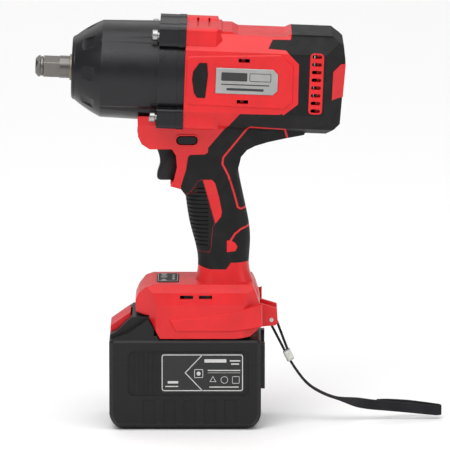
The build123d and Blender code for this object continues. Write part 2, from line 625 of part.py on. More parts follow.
# ---- housing details on both flanks ----
BUMPER = [(8.8, 10.0), (11.0, 13.2), (16.7, 13.4), (17.8, 4.1), (16.2, -13.8), (10.0, -13.7),
          (7.6, -10.3), (5.7, -0.3), (6.4, 6.4)]
NAMEPLATE = [(23.7, 10.2), (68.0, 10.2), (71.6, 6.4), (71.6, -6.4), (68.0, -9.8), (23.7, -9.8)]
PLATEAU = [(1.0, 17.0), (4.2, 18.3), (73.1, 21.8), (83.5, 13.7), (83.9, -15.0), (76.4, -20.8),
           (4.9, -19.7), (1.0, -18.0)]
PLATEAU_RISE = 1.0
FLANK_SLOTS = [(45.2, 16.2), (45.0, -15.8)]
FOOT_SLOTS = [(1.2, 104.6), (15.9, 104.6)]
SWOOSH = [(-13.2, 88.0), (11.6, 89.6), (38.7, 93.5), (60.0, 100.6), (60.0, 81.7), (50.4, 79.3),
          (36.4, 77.7), (-7.8, 77.7)]
TOP_RIB_GROOVES = (8.7, 17.5)
REVERSE_CENTRE = (1.6, 225.9)
REVERSE_SIZE = (16.2, 7.0)
PANEL_CENTRE_X = -13.5
PANEL_LENGTH = 17.0
PANEL_WIDTH = 36.0
LENS_HEIGHT = 230.7
LENS_RADIUS = 3.5
VENT_SLOTS = 8
VENT_PITCH = 6.0
REVERSE_HALF_LENGTH = 21.6
EAR_SIDE = [(50.0, 96.5), (56.7, 96.2), (71.5, 91.7), (72.2, 80.0), (70.0, 78.2), (50.0, 76.6)]
EAR_Y = 10.0
EAR_THICKNESS = 4.0
LANYARD_PIN = (67.3, 82.6)
LANYARD_PIN_RADIUS = 1.6
TRIGGER_SLOT = (-32.0, 2.4, 191.9, 221.0)
TRIGGER_WIDTH = 17.0
CHANNEL_HALF_WIDTH = 31.0
CHANNEL_TOP = 90.0
FLOOR_TOP = 92.6
CHANNEL_REAR = 50.0
RAIL_HALF_GAP = 27.0
RAIL_BOTTOM = 75.0
RAIL_TOP = 79.0
SCREW_SITES = [(112.6, 294.4), (112.2, 247.2), (-21.0, 230.0), (56.0, 229.5), (29.0, 150.0),
               (30.0, 119.0), (-25.0, 100.5), (45.5, 101.0)]
SCREW_RADIUS = 1.6
SCREW_WELL_Y = 10.0
SCREW_WELL_RADIUS = 3.5
SCREW_BOSS_RADIUS = 5.2
RIB_STATIONS = (43.0, 66.0)
RIB_THICKNESS = 3.0


def box_xyz(x0, x1, half_width, z0, z1):
    """Upright rectangle sketch for a block across the whole width."""
    with BuildSketch(side(half_width)) as profile:
        with Locations(((x0 + x1) / 2, (z0 + z1) / 2)):
            Rectangle(x1 - x0, z1 - z0)
    return profile.sketch


GRILLE = (101.1, 0.1)        # centre of the vent grille, station and height
GRILLE_LENGTH = 10.8
GRILLE_HEIGHT = 47.4
with BuildPart() as pockets:
    extrude(outline(flank(-BODY_HALF_WIDTH + 2.0), BUMPER), amount=20)
    extrude(outline(flank(-BODY_HALF_WIDTH - 0.4), NAMEPLATE), amount=20)
    with BuildSketch(flank(-BODY_HALF_WIDTH + 5)):
        with Locations(GRILLE):
            RectangleRounded(GRILLE_LENGTH, GRILLE_HEIGHT, 3.0)
    extrude(amount=20)
    with BuildSketch(flank(-BODY_HALF_WIDTH + 5)):
        with Locations(*FLANK_SLOTS):
            Rectangle(8.6, 3.0)
    extrude(amount=20)
    with BuildSketch(side(-30)):
        with Locations(*FOOT_SLOTS):
            Rectangle(10.1, 2.8)
    extrude(amount=20)
    mirror(about=Plane.XZ)
    with BuildSketch(side()):
        with Locations(REVERSE_CENTRE):
            RectangleRounded(REVERSE_SIZE[0] + 0.4, REVERSE_SIZE[1] + 0.4, 3.4)
    extrude(amount=THROUGH, both=True)
    extrude(box_xyz(*TRIGGER_SLOT[:2], 0, *TRIGGER_SLOT[2:]), amount=TRIGGER_WIDTH / 2 + 0.3, both=True)
    with BuildSketch(level(FOOT_TOP - 1.2)):
        with Locations((PANEL_CENTRE_X, 0)):
            RectangleRounded(PANEL_LENGTH + 0.2, PANEL_WIDTH + 0.2, 3.0)
    extrude(amount=5)
    with BuildSketch(level(FOOT_TOP - 6)):
        with Locations((PANEL_CENTRE_X, 0)):
            Rectangle(PANEL_LENGTH - 4, PANEL_WIDTH - 6)
    extrude(amount=8)
    with BuildSketch(front(-60)):
        with Locations((0, LENS_HEIGHT)):
            Circle(LENS_RADIUS + RUNNING)
    extrude(amount=32)
    for groove in TOP_RIB_GROOVES:
        with BuildSketch(flank()):
            Polygon((groove - 0.5, 36.3), (groove + 0.5, 36.3), (groove + 0.9, 39), (groove - 0.9, 39),
                    align=None)
        extrude(amount=28, both=True)

with BuildPart() as screw_holes:
    with BuildSketch(side(-9.0)):
        with Locations(*SCREW_SITES):
            Circle(SCREW_RADIUS)
    extrude(amount=-40)
    with BuildSketch(side(SCREW_WELL_Y)):
        with Locations(*SCREW_SITES):
            Circle(SCREW_WELL_RADIUS)
    extrude(amount=-60)
    with BuildSketch(station(0)):
        with GridLocations(2 * SCREW_Y, 2 * SCREW_H, 2, 2):
            Circle(2.4)
    extrude(amount=17)
    with BuildSketch(side(-EAR_Y - EAR_THICKNESS / 2)):
        with Locations(LANYARD_PIN):
            Circle(LANYARD_PIN_RADIUS)
    extrude(amount=-2 * EAR_Y - EAR_THICKNESS)

# ---- split lines between the red housing and the black overmould ----
REAR_SKIN = [(20.1, -56.2), (43.5, -25.3), (77.4, -24.7), (87.8, -16.1), (87.3, 14.9), (76.9, 25.0),
             (63.4, 25.6), (66.6, 31.9), (80.4, 32.1), (85.7, 60.0), (140.0, 60.0), (140.0, -70.0),
             (20.0, -70.0)]
GRIP_SKIN = [(-3.3, 180.0), (-3.1, 189.8), (0.7, 202.0), (2.3, 212.2), (3.9, 214.1), (15.5, 214.5),
             (17.8, 216.1), (29.0, 232.0), (75.0, 250.0), (75.0, 180.0), (70.0, 129.3), (35.6, 129.0),
             (31.8, 123.8), (19.3, 123.8), (10.0, 126.1), (-10.0, 127.0)]
BACK_LINE = [(50.0, 238.0), (29.6, 212.0), (29.0, 207.0), (33.6, 197.9), (38.4, 182.1), (41.0, 172.2),
             (43.2, 170.8), (70.0, 174.6)]
LOW_LINE = [(70.0, 162.5), (49.6, 157.2), (43.4, 155.2), (38.7, 151.6), (35.4, 146.4), (34.6, 141.5)]
UNDER_LINE = [(50.0, 238.0), (77.0, 236.0), (80.0, 225.0)]
LINE_WIDTH = 1.5
POCKET = [(32.5, 146.5), (32.5, 137.2), (39.2, 138.2), (40.6, 141.4), (38.9, 144.6), (35.9, 146.3)]
RED_INLAY = [(14.0, 194.3), (20.9, 194.3), (23.2, 191.9), (26.3, 180.9), (28.6, 169.1), (27.9, 165.2),
             (23.6, 159.6)]
PAD_SIDE = [(13.7, 194.6), (10.0, 193.5), (6.2, 187.2), (2.3, 183.3), (-8.0, 182.0), (0.0, 137.2),
            (19.3, 137.2), (20.5, 143.1), (20.9, 151.0), (21.7, 157.3), (23.2, 159.2)]
PAD_GROOVE_PITCH = 3.2
PAD_GROOVES = 15
PAD_GROOVE_TOP = 187.6
PAD_GROOVE_DEPTH = 0.9


def stroke(plane, points, width):
    """Line of constant width drawn through points."""
    with BuildSketch(plane) as profile:
        with BuildLine():
            Polyline(*points)
        trace(line_width=width)
    return profile.sketch


with BuildPart() as overmould_region:
    extrude(outline(flank(), REAR_SKIN), amount=THROUGH, both=True)
    extrude(outline(side(), GRIP_SKIN), amount=THROUGH, both=True)
    for line in (BACK_LINE, LOW_LINE, UNDER_LINE):
        extrude(stroke(side(), line, LINE_WIDTH), amount=THROUGH, both=True, mode=Mode.SUBTRACT)
    extrude(outline(side(), POCKET), amount=THROUGH, both=True, mode=Mode.SUBTRACT)
    extrude(outline(side(), RED_INLAY), amount=THROUGH, both=True, mode=Mode.SUBTRACT)
    extrude(outline(side(), PAD_SIDE), amount=THROUGH, both=True, mode=Mode.SUBTRACT)

with BuildPart() as pad_region:
    extrude(outline(side(), PAD_SIDE, 0.15), amount=THROUGH, both=True)

with BuildPart() as envelope:
    add(body_block())
    add(handle_block())

with BuildPart() as core:
    add(body_block(SKIN, -SKIN))
    add(handle_block(SKIN))

ACCENT = [(113.7, 9.1), (119.8, 14.8), (140.0, 14.8), (140.0, -11.2), (120.0, -11.2),
          (113.5, -12.9)]
with BuildPart() as rear_accent:
    add(body_block(-0.5))
    add(body_block(SKIN), mode=Mode.SUBTRACT)
    extrude(outline(flank(), ACCENT, 0.15), amount=THROUGH, both=True, mode=Mode.INTERSECT)
write(rear_accent.part, "rear_accent")

with BuildPart() as skin:
    add(envelope.part)
    add(core.part, mode=Mode.SUBTRACT)
    add(overmould_region.part, mode=Mode.INTERSECT)
    extrude(outline(flank(), ACCENT), amount=THROUGH, both=True, mode=Mode.SUBTRACT)
    add(pockets.part, mode=Mode.SUBTRACT)
    add(screw_holes.part, mode=Mode.SUBTRACT)

with BuildPart() as pads:
    add(envelope.part)
    add(core.part, mode=Mode.SUBTRACT)
    add(pad_region.part, mode=Mode.INTERSECT)

with BuildPart() as pad_grooves:
    with BuildSketch(side()):
        with Locations(*[(4.0, PAD_GROOVE_TOP - PAD_GROOVE_PITCH * n) for n in range(PAD_GROOVES)]):
            Rectangle(28.0, 1.0)
        with BuildLine():
            Polyline(*PAD_SIDE, close=True)
        make_face(mode=Mode.INTERSECT)
    extrude(amount=30, both=True)
    add(grip_block(PAD_GROOVE_DEPTH), mode=Mode.SUBTRACT)

with BuildPart() as grooved_pads:
    add(pads.part)
    add(pad_grooves.part, mode=Mode.SUBTRACT)


def half(part, keep):
    """Half of a part on one side of the split plane of the housing."""
    with BuildPart() as piece:
        add(part)
        split(bisect_by=Plane.XZ, keep=keep)
    return piece.part


HALVES = (("left", Keep.TOP), ("right", Keep.BOTTOM))
for half_name, keep in HALVES:
    body_skin, back_skin = half(skin.part, keep).solids().sort_by(SortBy.VOLUME)[:-3:-1]
    write(Part(children=[body_skin]), f"body_overmould_{half_name}")
    write(Part(children=[back_skin]), f"back_overmould_{half_name}")
    write(half(grooved_pads.part, keep), f"grip_pad_{half_name}")

with BuildPart() as raised_details:
    extrude(outline(flank(-BODY_HALF_WIDTH + 0.1), PLATEAU), amount=PLATEAU_RISE + 0.1, taper=40)
    extrude(outline(side(-35.4), SWOOSH), amount=1.9, taper=30)
    extrude(outline(side(-EAR_Y + EAR_THICKNESS / 2), EAR_SIDE), amount=EAR_THICKNESS)
    mirror(about=Plane.XZ)

with BuildPart() as lug_fairings:
    with BuildSketch(station(0)):
        with GridLocations(2 * SCREW_Y, 2 * SCREW_H, 2, 2):
            RectangleRounded(16.0, 15.4, 3.0)
    extrude(amount=30)
    with BuildSketch(flank()):
        Polygon((0, 50), (19.5, 50), (31, 23), (31, 0), (26.5, -42), (24, -60), (0, -60), align=None)
    extrude(amount=THROUGH, both=True, mode=Mode.INTERSECT)
    with BuildSketch(deck()):
        Polygon((0, -43), (20, -43), (30, -33), (30, 33), (20, 43), (0, 43), align=None)
    extrude(amount=THROUGH, both=True, mode=Mode.INTERSECT)

with BuildPart() as reverse_rim:
    with BuildSketch(side()):
        with Locations(REVERSE_CENTRE):
            RectangleRounded(REVERSE_SIZE[0] + 2.6, REVERSE_SIZE[1] + 2.6, 4.6)
    extrude(amount=THROUGH, both=True)
    add(handle_block(-0.6), mode=Mode.INTERSECT)

with BuildPart() as cavity:
    add(body_block(WALL, -10))
    for rib_start in RIB_STATIONS:
        extrude(ring(station(rib_start), 70, STATOR_RADIUS), amount=RIB_THICKNESS, mode=Mode.SUBTRACT)
    extrude(ring(station(REAR_BEARING_START), 70, BEARING_RADIUS), amount=5.2, mode=Mode.SUBTRACT)
    with BuildSketch(flank()):
        Polygon((40, -50), (72, -50), (72, -31), (40, -31), align=None)
    extrude(amount=7, both=True)
    add(body_block(WALL, -10), mode=Mode.INTERSECT)
    add(handle_block(WALL))
    with BuildSketch(level(FLOOR_TOP)):
        Rectangle(200, 100)
    extrude(amount=-60, mode=Mode.SUBTRACT)
    for site in SCREW_SITES:
        with BuildSketch(side()):
            with Locations(site):
                Circle(SCREW_BOSS_RADIUS)
        extrude(amount=THROUGH, both=True, mode=Mode.SUBTRACT)

with BuildPart() as battery_channel:
    extrude(box_xyz(-80, CHANNEL_REAR, 0, 60, CHANNEL_TOP), amount=CHANNEL_HALF_WIDTH, both=True)
    for flip in (-1, 1):
        with BuildSketch(front(-80)):
            with Locations((flip * (RAIL_HALF_GAP + 5), (RAIL_BOTTOM + RAIL_TOP) / 2)):
                Rectangle(10, RAIL_TOP - RAIL_BOTTOM)
        extrude(amount=200, mode=Mode.SUBTRACT)
    with BuildSketch(level(CHANNEL_TOP - 1)):
        with Locations((44.6, 0)):
            Rectangle(10.2, 40.4)
    extrude(amount=6)

with BuildPart() as case_room:
    extrude(ring(station(CASE_FACE), BARREL_REAR_RADIUS + 0.6), amount=-CASE_FACE)
    extrude(flange_outline(station(FLANGE_FRONT - 0.5), 0.6), amount=0.5 - FLANGE_FRONT)
    with BuildSketch(flank()):
        Polygon((-120, 0), (0, 0), (0, 80), (-120, 80), align=None)
    extrude(amount=80, both=True)

with BuildPart() as housing:
    add(envelope.part)
    add(raised_details.part)
    add(lug_fairings.part)
    add(reverse_rim.part)
    add(skin.part, mode=Mode.SUBTRACT)
    add(pads.part, mode=Mode.SUBTRACT)
    add(rear_accent.part, mode=Mode.SUBTRACT)
    add(case_room.part, mode=Mode.SUBTRACT)
    add(cavity.part, mode=Mode.SUBTRACT)
    add(battery_channel.part, mode=Mode.SUBTRACT)
    add(pockets.part, mode=Mode.SUBTRACT)
    add(screw_holes.part, mode=Mode.SUBTRACT)
for half_name, keep in HALVES:
    write(half(housing.part, keep), f"housing_{half_name}")

# ---- trim pieces ----
with BuildPart() as vent_grilles:
    with BuildSketch(flank(-BODY_HALF_WIDTH + 3.4)):
        with Locations(GRILLE):
            RectangleRounded(GRILLE_LENGTH - 0.1, GRILLE_HEIGHT - 0.1, 2.95)
    extrude(amount=3.7)
    chamfer(vent_grilles.faces().sort_by(Axis.Y)[0].edges(), 0.3)
    with BuildSketch(flank(-BODY_HALF_WIDTH + 3.4)):
        with Locations(GRILLE):
            with GridLocations(1, VENT_PITCH, 1, VENT_SLOTS):
                SlotOverall(7.4, 2.9)
    extrude(amount=5, mode=Mode.SUBTRACT)
    mirror(about=Plane.XZ)
write(vent_grilles.part, "vent_grilles")

with BuildPart() as bumper_pads:
    extrude(outline(flank(-BODY_HALF_WIDTH + 2.0), BUMPER, 0.15), amount=3.8)
    fillet(bumper_pads.faces().sort_by(Axis.Y)[0].edges(), 0.7)
    mirror(about=Plane.XZ)
write(bumper_pads.part, "bumper_pads")

with BuildPart() as nameplates:
    extrude(outline(flank(-BODY_HALF_WIDTH - 0.4), NAMEPLATE, 0.1), amount=1.2)
    chamfer(nameplates.faces().sort_by(Axis.Y)[0].edges(), 0.3)
    mirror(about=Plane.XZ)
write(nameplates.part, "nameplates")

SCREW_HEAD_RADIUS = 3.0
with BuildPart() as housing_screws:
    with BuildSketch(side(-8.0)):
        with Locations(*SCREW_SITES):
            Circle(SCREW_RADIUS)
    extrude(amount=-(SCREW_WELL_Y + 8.0))
    with BuildSketch(side(SCREW_WELL_Y)):
        with Locations(*SCREW_SITES):
            Circle(SCREW_HEAD_RADIUS)
    extrude(amount=-2.4)
    chamfer(housing_screws.edges().group_by(Axis.Y)[-1], 0.5)
    with BuildSketch(side(SCREW_WELL_Y + 1.0)):
        with Locations(*SCREW_SITES):
            RegularPolygon(1.5, 6)
    extrude(amount=-3, mode=Mode.SUBTRACT)
write(housing_screws.part, "housing_screws")

# ---- controls ----
with BuildPart() as reverse_button:
    with BuildSketch(side()):
        with Locations(REVERSE_CENTRE):
            RectangleRounded(REVERSE_SIZE[0], REVERSE_SIZE[1], 3.3)
    extrude(amount=REVERSE_HALF_LENGTH, both=True)
    chamfer(reverse_button.faces().sort_by(Axis.Y)[0].edges(), 0.8)
    chamfer(reverse_button.faces().sort_by(Axis.Y)[-1].edges(), 0.8)
write(reverse_button.part, "reverse_button")

SWITCH_FRONT = 6.5
SWITCH_REAR = 34.0
STEM_RADIUS = 2.5
STEM_HEIGHT = 207.0
with BuildPart() as trigger:
    with BuildSketch(side()):
        with BuildLine():
            Polyline((-11.5, 192.6), (-8.2, 200.0), (-7.2, 207.5), (-7.8, 214.0), (-11.0, 218.4),
                     (-14.0, 220.2), (-26.5, 220.2))
            Spline((-26.5, 220.2), (-22.3, 217.6), (-19.9, 211.0), (-19.6, 205.0), (-21.2, 199.4),
                   (-21.9, 196.0))
            Polyline((-21.9, 196.0), (-21.1, 193.6), (-19.0, 192.7), (-11.5, 192.6))
        make_face()
    extrude(amount=TRIGGER_WIDTH / 2, both=True)
    fillet(trigger.edges().filter_by(GeomType.BSPLINE), 2.6)
    with BuildSketch(front(-9.0)):
        with Locations((0, STEM_HEIGHT)):
            Circle(STEM_RADIUS)
    extrude(amount=22)
write(trigger.part, "trigger")

with BuildPart() as trigger_switch:
    extrude(box_xyz(SWITCH_FRONT, SWITCH_REAR, 0, 196.5, 217.5), amount=11.0, both=True)
    chamfer(trigger_switch.edges().filter_by(Axis.Y), 1.0)
    with BuildSketch(front(SWITCH_FRONT)):
        with Locations((0, STEM_HEIGHT)):
            Circle(STEM_RADIUS + RUNNING)
    extrude(amount=16.5, mode=Mode.SUBTRACT)
write(trigger_switch.part, "trigger_switch")

TRIGGER_SPRING_START = -6.4
with BuildPart() as trigger_spring:
    with BuildLine():
        trigger_coil = Helix(2.9, SWITCH_FRONT - TRIGGER_SPRING_START - 1.4, 4.0,
                             center=(TRIGGER_SPRING_START + 0.7, 0, STEM_HEIGHT), direction=(1, 0, 0))
    with BuildSketch(Plane(origin=trigger_coil @ 0, z_dir=trigger_coil % 0)):
        Circle(0.5)
    sweep(path=trigger_coil)
write(trigger_spring.part, "trigger_spring")

with BuildPart() as worklight_lens:
    with BuildSketch(front(-37.2)):
        with Locations((0, LENS_HEIGHT)):
            Circle(LENS_RADIUS)
    extrude(amount=8)
    fillet(worklight_lens.edges().group_by(Axis.X)[0], 1.6)
write(worklight_lens.part, "worklight_lens")

MODE_BUTTON_X = PANEL_CENTRE_X - 3.0
with BuildPart() as control_panel:
    with BuildSketch(level(FOOT_TOP - 1.2)):
        with Locations((PANEL_CENTRE_X, 0)):
            RectangleRounded(PANEL_LENGTH, PANEL_WIDTH, 2.95)
        with Locations((MODE_BUTTON_X, 0)):
            SlotOverall(12.0, 6.0, rotation=90, mode=Mode.SUBTRACT)
    extrude(amount=2.0)
    chamfer(control_panel.faces().sort_by(Axis.Z)[-1].outer_wire().edges(), 0.5)
write(control_panel.part, "control_panel")

with BuildPart() as mode_button:
    with BuildSketch(level(FOOT_TOP - 2.4)):
        with Locations((MODE_BUTTON_X, 0)):
            SlotOverall(11.8, 5.8, rotation=90)
    extrude(amount=3.8)
    chamfer(mode_button.faces().sort_by(Axis.Z)[-1].edges(), 0.4)
write(mode_button.part, "mode_button")

with BuildPart() as controller_board:
    with BuildSketch(level(94.6)):
        with Locations((11, 0)):
            Rectangle(56.0, 50.0)
            with GridLocations(44, 38, 2, 2):
                Circle(1.8, mode=Mode.SUBTRACT)
    extrude(amount=1.6)
    with BuildSketch(level(96.2)):
        with Locations((16, 0)):
            with GridLocations(9.0, 11.0, 3, 2):
                Rectangle(6.0, 9.0)
    extrude(amount=2.4)
    with BuildSketch(level(96.2)):
        with Locations((-6, -12), (-6, 12)):
            Circle(5.0)
    extrude(amount=8.0)
write(controller_board.part, "controller_board")

BLADE_YS = (-15.0, -5.0, 5.0, 15.0)
BLADE_BOTTOM = 80.6
BLADE_TOP = 86.4
BLADE_FRONT = 25.0
with BuildPart() as terminal_block:
    extrude(box_xyz(39.8, 49.4, 0, 79.0, 94.0), amount=19.8, both=True)
    for blade_y in BLADE_YS:
        extrude(box_xyz(BLADE_FRONT, 40.0, blade_y, BLADE_BOTTOM, BLADE_TOP), amount=0.4, both=True)
write(terminal_block.part, "terminal_block")

with BuildPart() as lanyard_pin:
    with BuildSketch(side(-EAR_Y - EAR_THICKNESS / 2)):
        with Locations(LANYARD_PIN):
            Circle(LANYARD_PIN_RADIUS)
    extrude(amount=-2 * EAR_Y - EAR_THICKNESS)
write(lanyard_pin.part, "lanyard_pin")

# ---- wrist strap ----
CORD_RADIUS = 1.1
CORD_GAP = 0.15
LEG_OFFSET = 1.2             # each leg of the cord meets the sleeve this far from its middle
LOOP_RADIUS = LANYARD_PIN_RADIUS + CORD_RADIUS + CORD_GAP
PIN_CENTRE = Vector(LANYARD_PIN[0], 0, LANYARD_PIN[1])
SLEEVE_START = Vector(79.0, 0, 56.2)
SLEEVE_END = Vector(82.6, 0, 48.8)
SLEEVE_DIR = (SLEEVE_END - SLEEVE_START).normalized()
SLEEVE_ACROSS = Vector(-SLEEVE_DIR.Z, 0, SLEEVE_DIR.X)


def cord_tangent(leg_end, turn):
    """Point where the leg ending at leg_end leaves the loop round the pin, on the side given by turn."""
    reach = leg_end - PIN_CENTRE
    along = reach.normalized()
    across = Vector(-along.Z, 0, along.X) * turn
    share = LOOP_RADIUS / reach.length
    return PIN_CENTRE + (along * share + across * (1 - share ** 2) ** 0.5) * LOOP_RADIUS


cord_top = PIN_CENTRE + (PIN_CENTRE - SLEEVE_START).normalized() * LOOP_RADIUS
leg_ends = [SLEEVE_START - SLEEVE_DIR * CORD_GAP + SLEEVE_ACROSS * LEG_OFFSET * turn for turn in (-1, 1)]
with BuildPart() as strap_cord:
    with BuildLine() as cord_line:
        Line(leg_ends[0], cord_tangent(leg_ends[0], -1))
        ThreePointArc(cord_tangent(leg_ends[0], -1), cord_top, cord_tangent(leg_ends[1], 1))
        Line(cord_tangent(leg_ends[1], 1), leg_ends[1])
    cord_path = cord_line.wire()
    with BuildSketch(Plane(origin=cord_path @ 0, z_dir=cord_path % 0)):
        Circle(CORD_RADIUS)
    sweep(path=cord_path)
write(strap_cord.part, "strap_cord")

SLEEVE_LENGTH = 8.2
sleeve_plane = Plane(origin=SLEEVE_START, x_dir=(0, 1, 0), z_dir=SLEEVE_DIR)
with BuildPart() as strap_sleeve:
    with BuildSketch(sleeve_plane):
        RectangleRounded(9.5, 6.0, 2.4)
    extrude(amount=SLEEVE_LENGTH)
    fillet(strap_sleeve.edges().filter_by(lambda e: e.length < 3.9 or e.length > 4.0).group_by(Axis.Z)[0],
           0.4)
write(strap_sleeve.part, "strap_sleeve")

STRAP_WIDTH = 14.0
STRAP_THICKNESS = 1.6
strap_start = SLEEVE_START + SLEEVE_DIR * (SLEEVE_LENGTH + 0.2)
with BuildPart() as strap_webbing:
    with BuildSketch(side()):
        with BuildLine() as strap_path:
            Spline((strap_start.X, strap_start.Z), (94.5, 32.3), (106.5, 22.2), (121.2, 15.6),
                   (137.0, 11.6), (156.0, 9.6), (178.0, 10.2), (197.0, 9.4),
                   tangents=((SLEEVE_DIR.X, SLEEVE_DIR.Z), (1, -0.06)))
            ThreePointArc((197.0, 9.4), (201.6, 5.4), (197.0, 1.8))
            Spline((197.0, 1.8), (184.0, 2.2), (166.0, 4.6), (150.0, 7.0),
                   tangents=((-1, 0.0), (-1, 0.16)))
        trace(line_width=STRAP_THICKNESS)
    extrude(amount=STRAP_WIDTH / 2, both=True)
write(strap_webbing.part, "strap_webbing")

# ---- battery ----
BATTERY_REAR = BATTERY_LENGTH / 2
BATTERY_HALF_WIDTH = 37.5
CASE_SEAM = 54.2
CASE_WALL = 2.6
TOWER_HEAD = 30.6
TOWER_NECK = 26.6
TOWER_REAR = 38.0
TOWER_TOP = 88.6
with BuildPart() as battery_form:
    with BuildSketch(side()):
        with Locations((0, BATTERY_TOP / 2)):
            Rectangle(BATTERY_LENGTH, BATTERY_TOP)
        fillet(vertices().group_by(Axis.Y)[0], 14.0)
    extrude(amount=BATTERY_HALF_WIDTH, both=True)
    with BuildSketch(front(-80)):
        Polygon(*mirrored([(BATTERY_HALF_WIDTH, 80), (BATTERY_HALF_WIDTH, 5.5), (32.0, 0)]), align=None)
    extrude(amount=160, mode=Mode.INTERSECT)
    chamfer(battery_form.edges().filter_by(Axis.Z), 3.0)
    chamfer(battery_form.faces().sort_by(Axis.Z)[-1].edges(), 1.6)
    # raised rails on the rear face and the border frame on each flank
    for rail_y in (-28.0, 28.0):
        with BuildSketch(front(BATTERY_REAR - 4)):
            with Locations((rail_y, 50.0)):
                RectangleRounded(9.0, 36.0, 1.5)
        extrude(amount=7.0)

with BuildPart() as flank_recess:
    with BuildSketch(side(-BATTERY_HALF_WIDTH + 1.2)):
        with Locations((2.6, 45.1)):
            RectangleRounded(94.0, 36.0, 5.0)
    extrude(amount=5)
    with BuildSketch(side(-BATTERY_HALF_WIDTH + 0.8)):
        with Locations(*[(-28.1 + 15.8 * n, 11.0) for n in range(5)]):
            RectangleRounded(9.4, 27.0, 1.6)
    extrude(amount=5)
    mirror(about=Plane.XZ)

with BuildPart() as recess_ribs:
    with BuildSketch(side(-BATTERY_HALF_WIDTH + 1.3)):
        with Locations(*[(-41.0 + 3.6 * n, 45.1) for n in range(6)]):
            Rectangle(1.5, 32.0)
    extrude(amount=0.8)
    mirror(about=Plane.XZ)

with BuildPart() as battery_room:
    with BuildSketch(side()):
        with Locations((0, (BATTERY_TOP - CASE_WALL + CASE_WALL) / 2)):
            Rectangle(BATTERY_LENGTH - 2 * CASE_WALL, BATTERY_TOP - 2 * CASE_WALL)
        fillet(vertices().group_by(Axis.Y)[0], 11.0)
    extrude(amount=BATTERY_HALF_WIDTH - CASE_WALL - 1.2, both=True)
    with BuildSketch(front(-80)):
        Polygon(*mirrored([(BATTERY_HALF_WIDTH, 80), (BATTERY_HALF_WIDTH, 9.0), (31.0, 2.0)]), align=None)
    extrude(amount=160, mode=Mode.INTERSECT)

SHOULDER = [(-58.0, 69.0), (-57.4, 71.2), (-44.4, 76.6), (-28.6, 87.4), (-25.4, 81.8), (-20.4, 71.6),
            (-20.4, 69.0)]
TOWER_SIDE = [(-58.0, 69.0), (-58.0, 74.6), (-53.2, 77.0), (-41.0, TOWER_TOP), (TOWER_REAR, TOWER_TOP),
              (TOWER_REAR, 69.0)]
LATCH_HALF_WIDTH = 17.0
LATCH_SIDE = [(-58.4, 73.0), (-58.2, 79.0), (-54.6, 81.6), (-42.6, 90.0), (-42.6, 83.6), (-46.0, 80.6),
              (-46.0, 77.6), (-52.5, 73.0)]
with BuildPart() as battery_top:
    extrude(outline(side(), SHOULDER), amount=36.0, both=True)
    extrude(outline(side(), TOWER_SIDE), amount=TOWER_HEAD, both=True)
    for flip in (-1, 1):
        with BuildSketch(front(-24.2)):
            with Locations((flip * (TOWER_NECK + 5), 76.9)):
                Rectangle(10, 4.8)
        extrude(amount=100, mode=Mode.SUBTRACT)
        with BuildSketch(front(-20.4)):
            with Locations((flip * (TOWER_NECK + 6), 75.5)):
                Rectangle(12, 8.0)
        extrude(amount=100, mode=Mode.SUBTRACT)
    extrude(box_xyz(50.0, 56.6, 0, 68.0, 71.6), amount=30.0, both=True)

with BuildPart() as latch_pocket:
    extrude(outline(side(), [(-62.0, 69.4), (-62.0, 82.0), (-55.0, 90.0), (-42.3, 95.0), (-42.3, 80.1),
                             (-45.7, 77.1), (-45.7, 74.1), (-50.0, 69.4)]),
            amount=LATCH_HALF_WIDTH + 0.3, both=True)

with BuildPart() as battery_case:
    add(battery_form.part)
    add(flank_recess.part, mode=Mode.SUBTRACT)
    add(recess_ribs.part)
    add(battery_top.part)
    add(battery_room.part, mode=Mode.SUBTRACT)
    extrude(box_xyz(-36.0, 22.0, 0, 66.0, TOWER_TOP - CASE_WALL), amount=22.0, both=True,
            mode=Mode.SUBTRACT)
    add(latch_pocket.part, mode=Mode.SUBTRACT)
    for blade_y in BLADE_YS:
        extrude(box_xyz(20.0, 60.0, blade_y, 79.6, 87.4), amount=1.6, both=True, mode=Mode.SUBTRACT)

for case_name, keep in (("battery_case_upper", Keep.TOP), ("battery_case_lower", Keep.BOTTOM)):
    with BuildPart() as case_half:
        add(battery_case.part)
        split(bisect_by=level(CASE_SEAM), keep=keep)
    write(case_half.part, case_name)

with BuildPart() as battery_latch:
    extrude(outline(side(), LATCH_SIDE), amount=LATCH_HALF_WIDTH, both=True)
    chamfer(battery_latch.edges().filter_by(Axis.Y).group_by(Axis.X)[0], 0.8)
write(battery_latch.part, "battery_latch")

with BuildPart() as latch_spring:
    with BuildLine():
        latch_coil = Helix(1.3, 2.6, 2.4, center=(-54.5, 0, 69.9))
    with BuildSketch(Plane(origin=latch_coil @ 0, z_dir=latch_coil % 0)):
        Circle(0.35)
    sweep(path=latch_coil)
write(latch_spring.part, "latch_spring")

CELL_RADIUS = 9.1
CELL_PITCH = 19.6
CELL_HALF_LENGTH = 32.5
CELL_ROWS = (15.0, 35.0)
CELL_SITES = [(CELL_PITCH * (n - 2), height) for height in CELL_ROWS for n in range(5)]
with BuildPart() as battery_cells:
    with BuildSketch(side(-CELL_HALF_LENGTH)):
        with Locations(*CELL_SITES):
            Circle(CELL_RADIUS)
    extrude(amount=-2 * CELL_HALF_LENGTH)
write(battery_cells.part, "battery_cells")

with BuildPart() as cell_holders:
    with BuildSketch(side(-26.0)):
        with Locations((0, 25.4)):
            RectangleRounded(106.0, 41.0, 8.0)
        with Locations(*CELL_SITES):
            Circle(CELL_RADIUS + 0.05, mode=Mode.SUBTRACT)
    extrude(amount=-6)
    mirror(about=Plane.XZ)
write(cell_holders.part, "cell_holders")

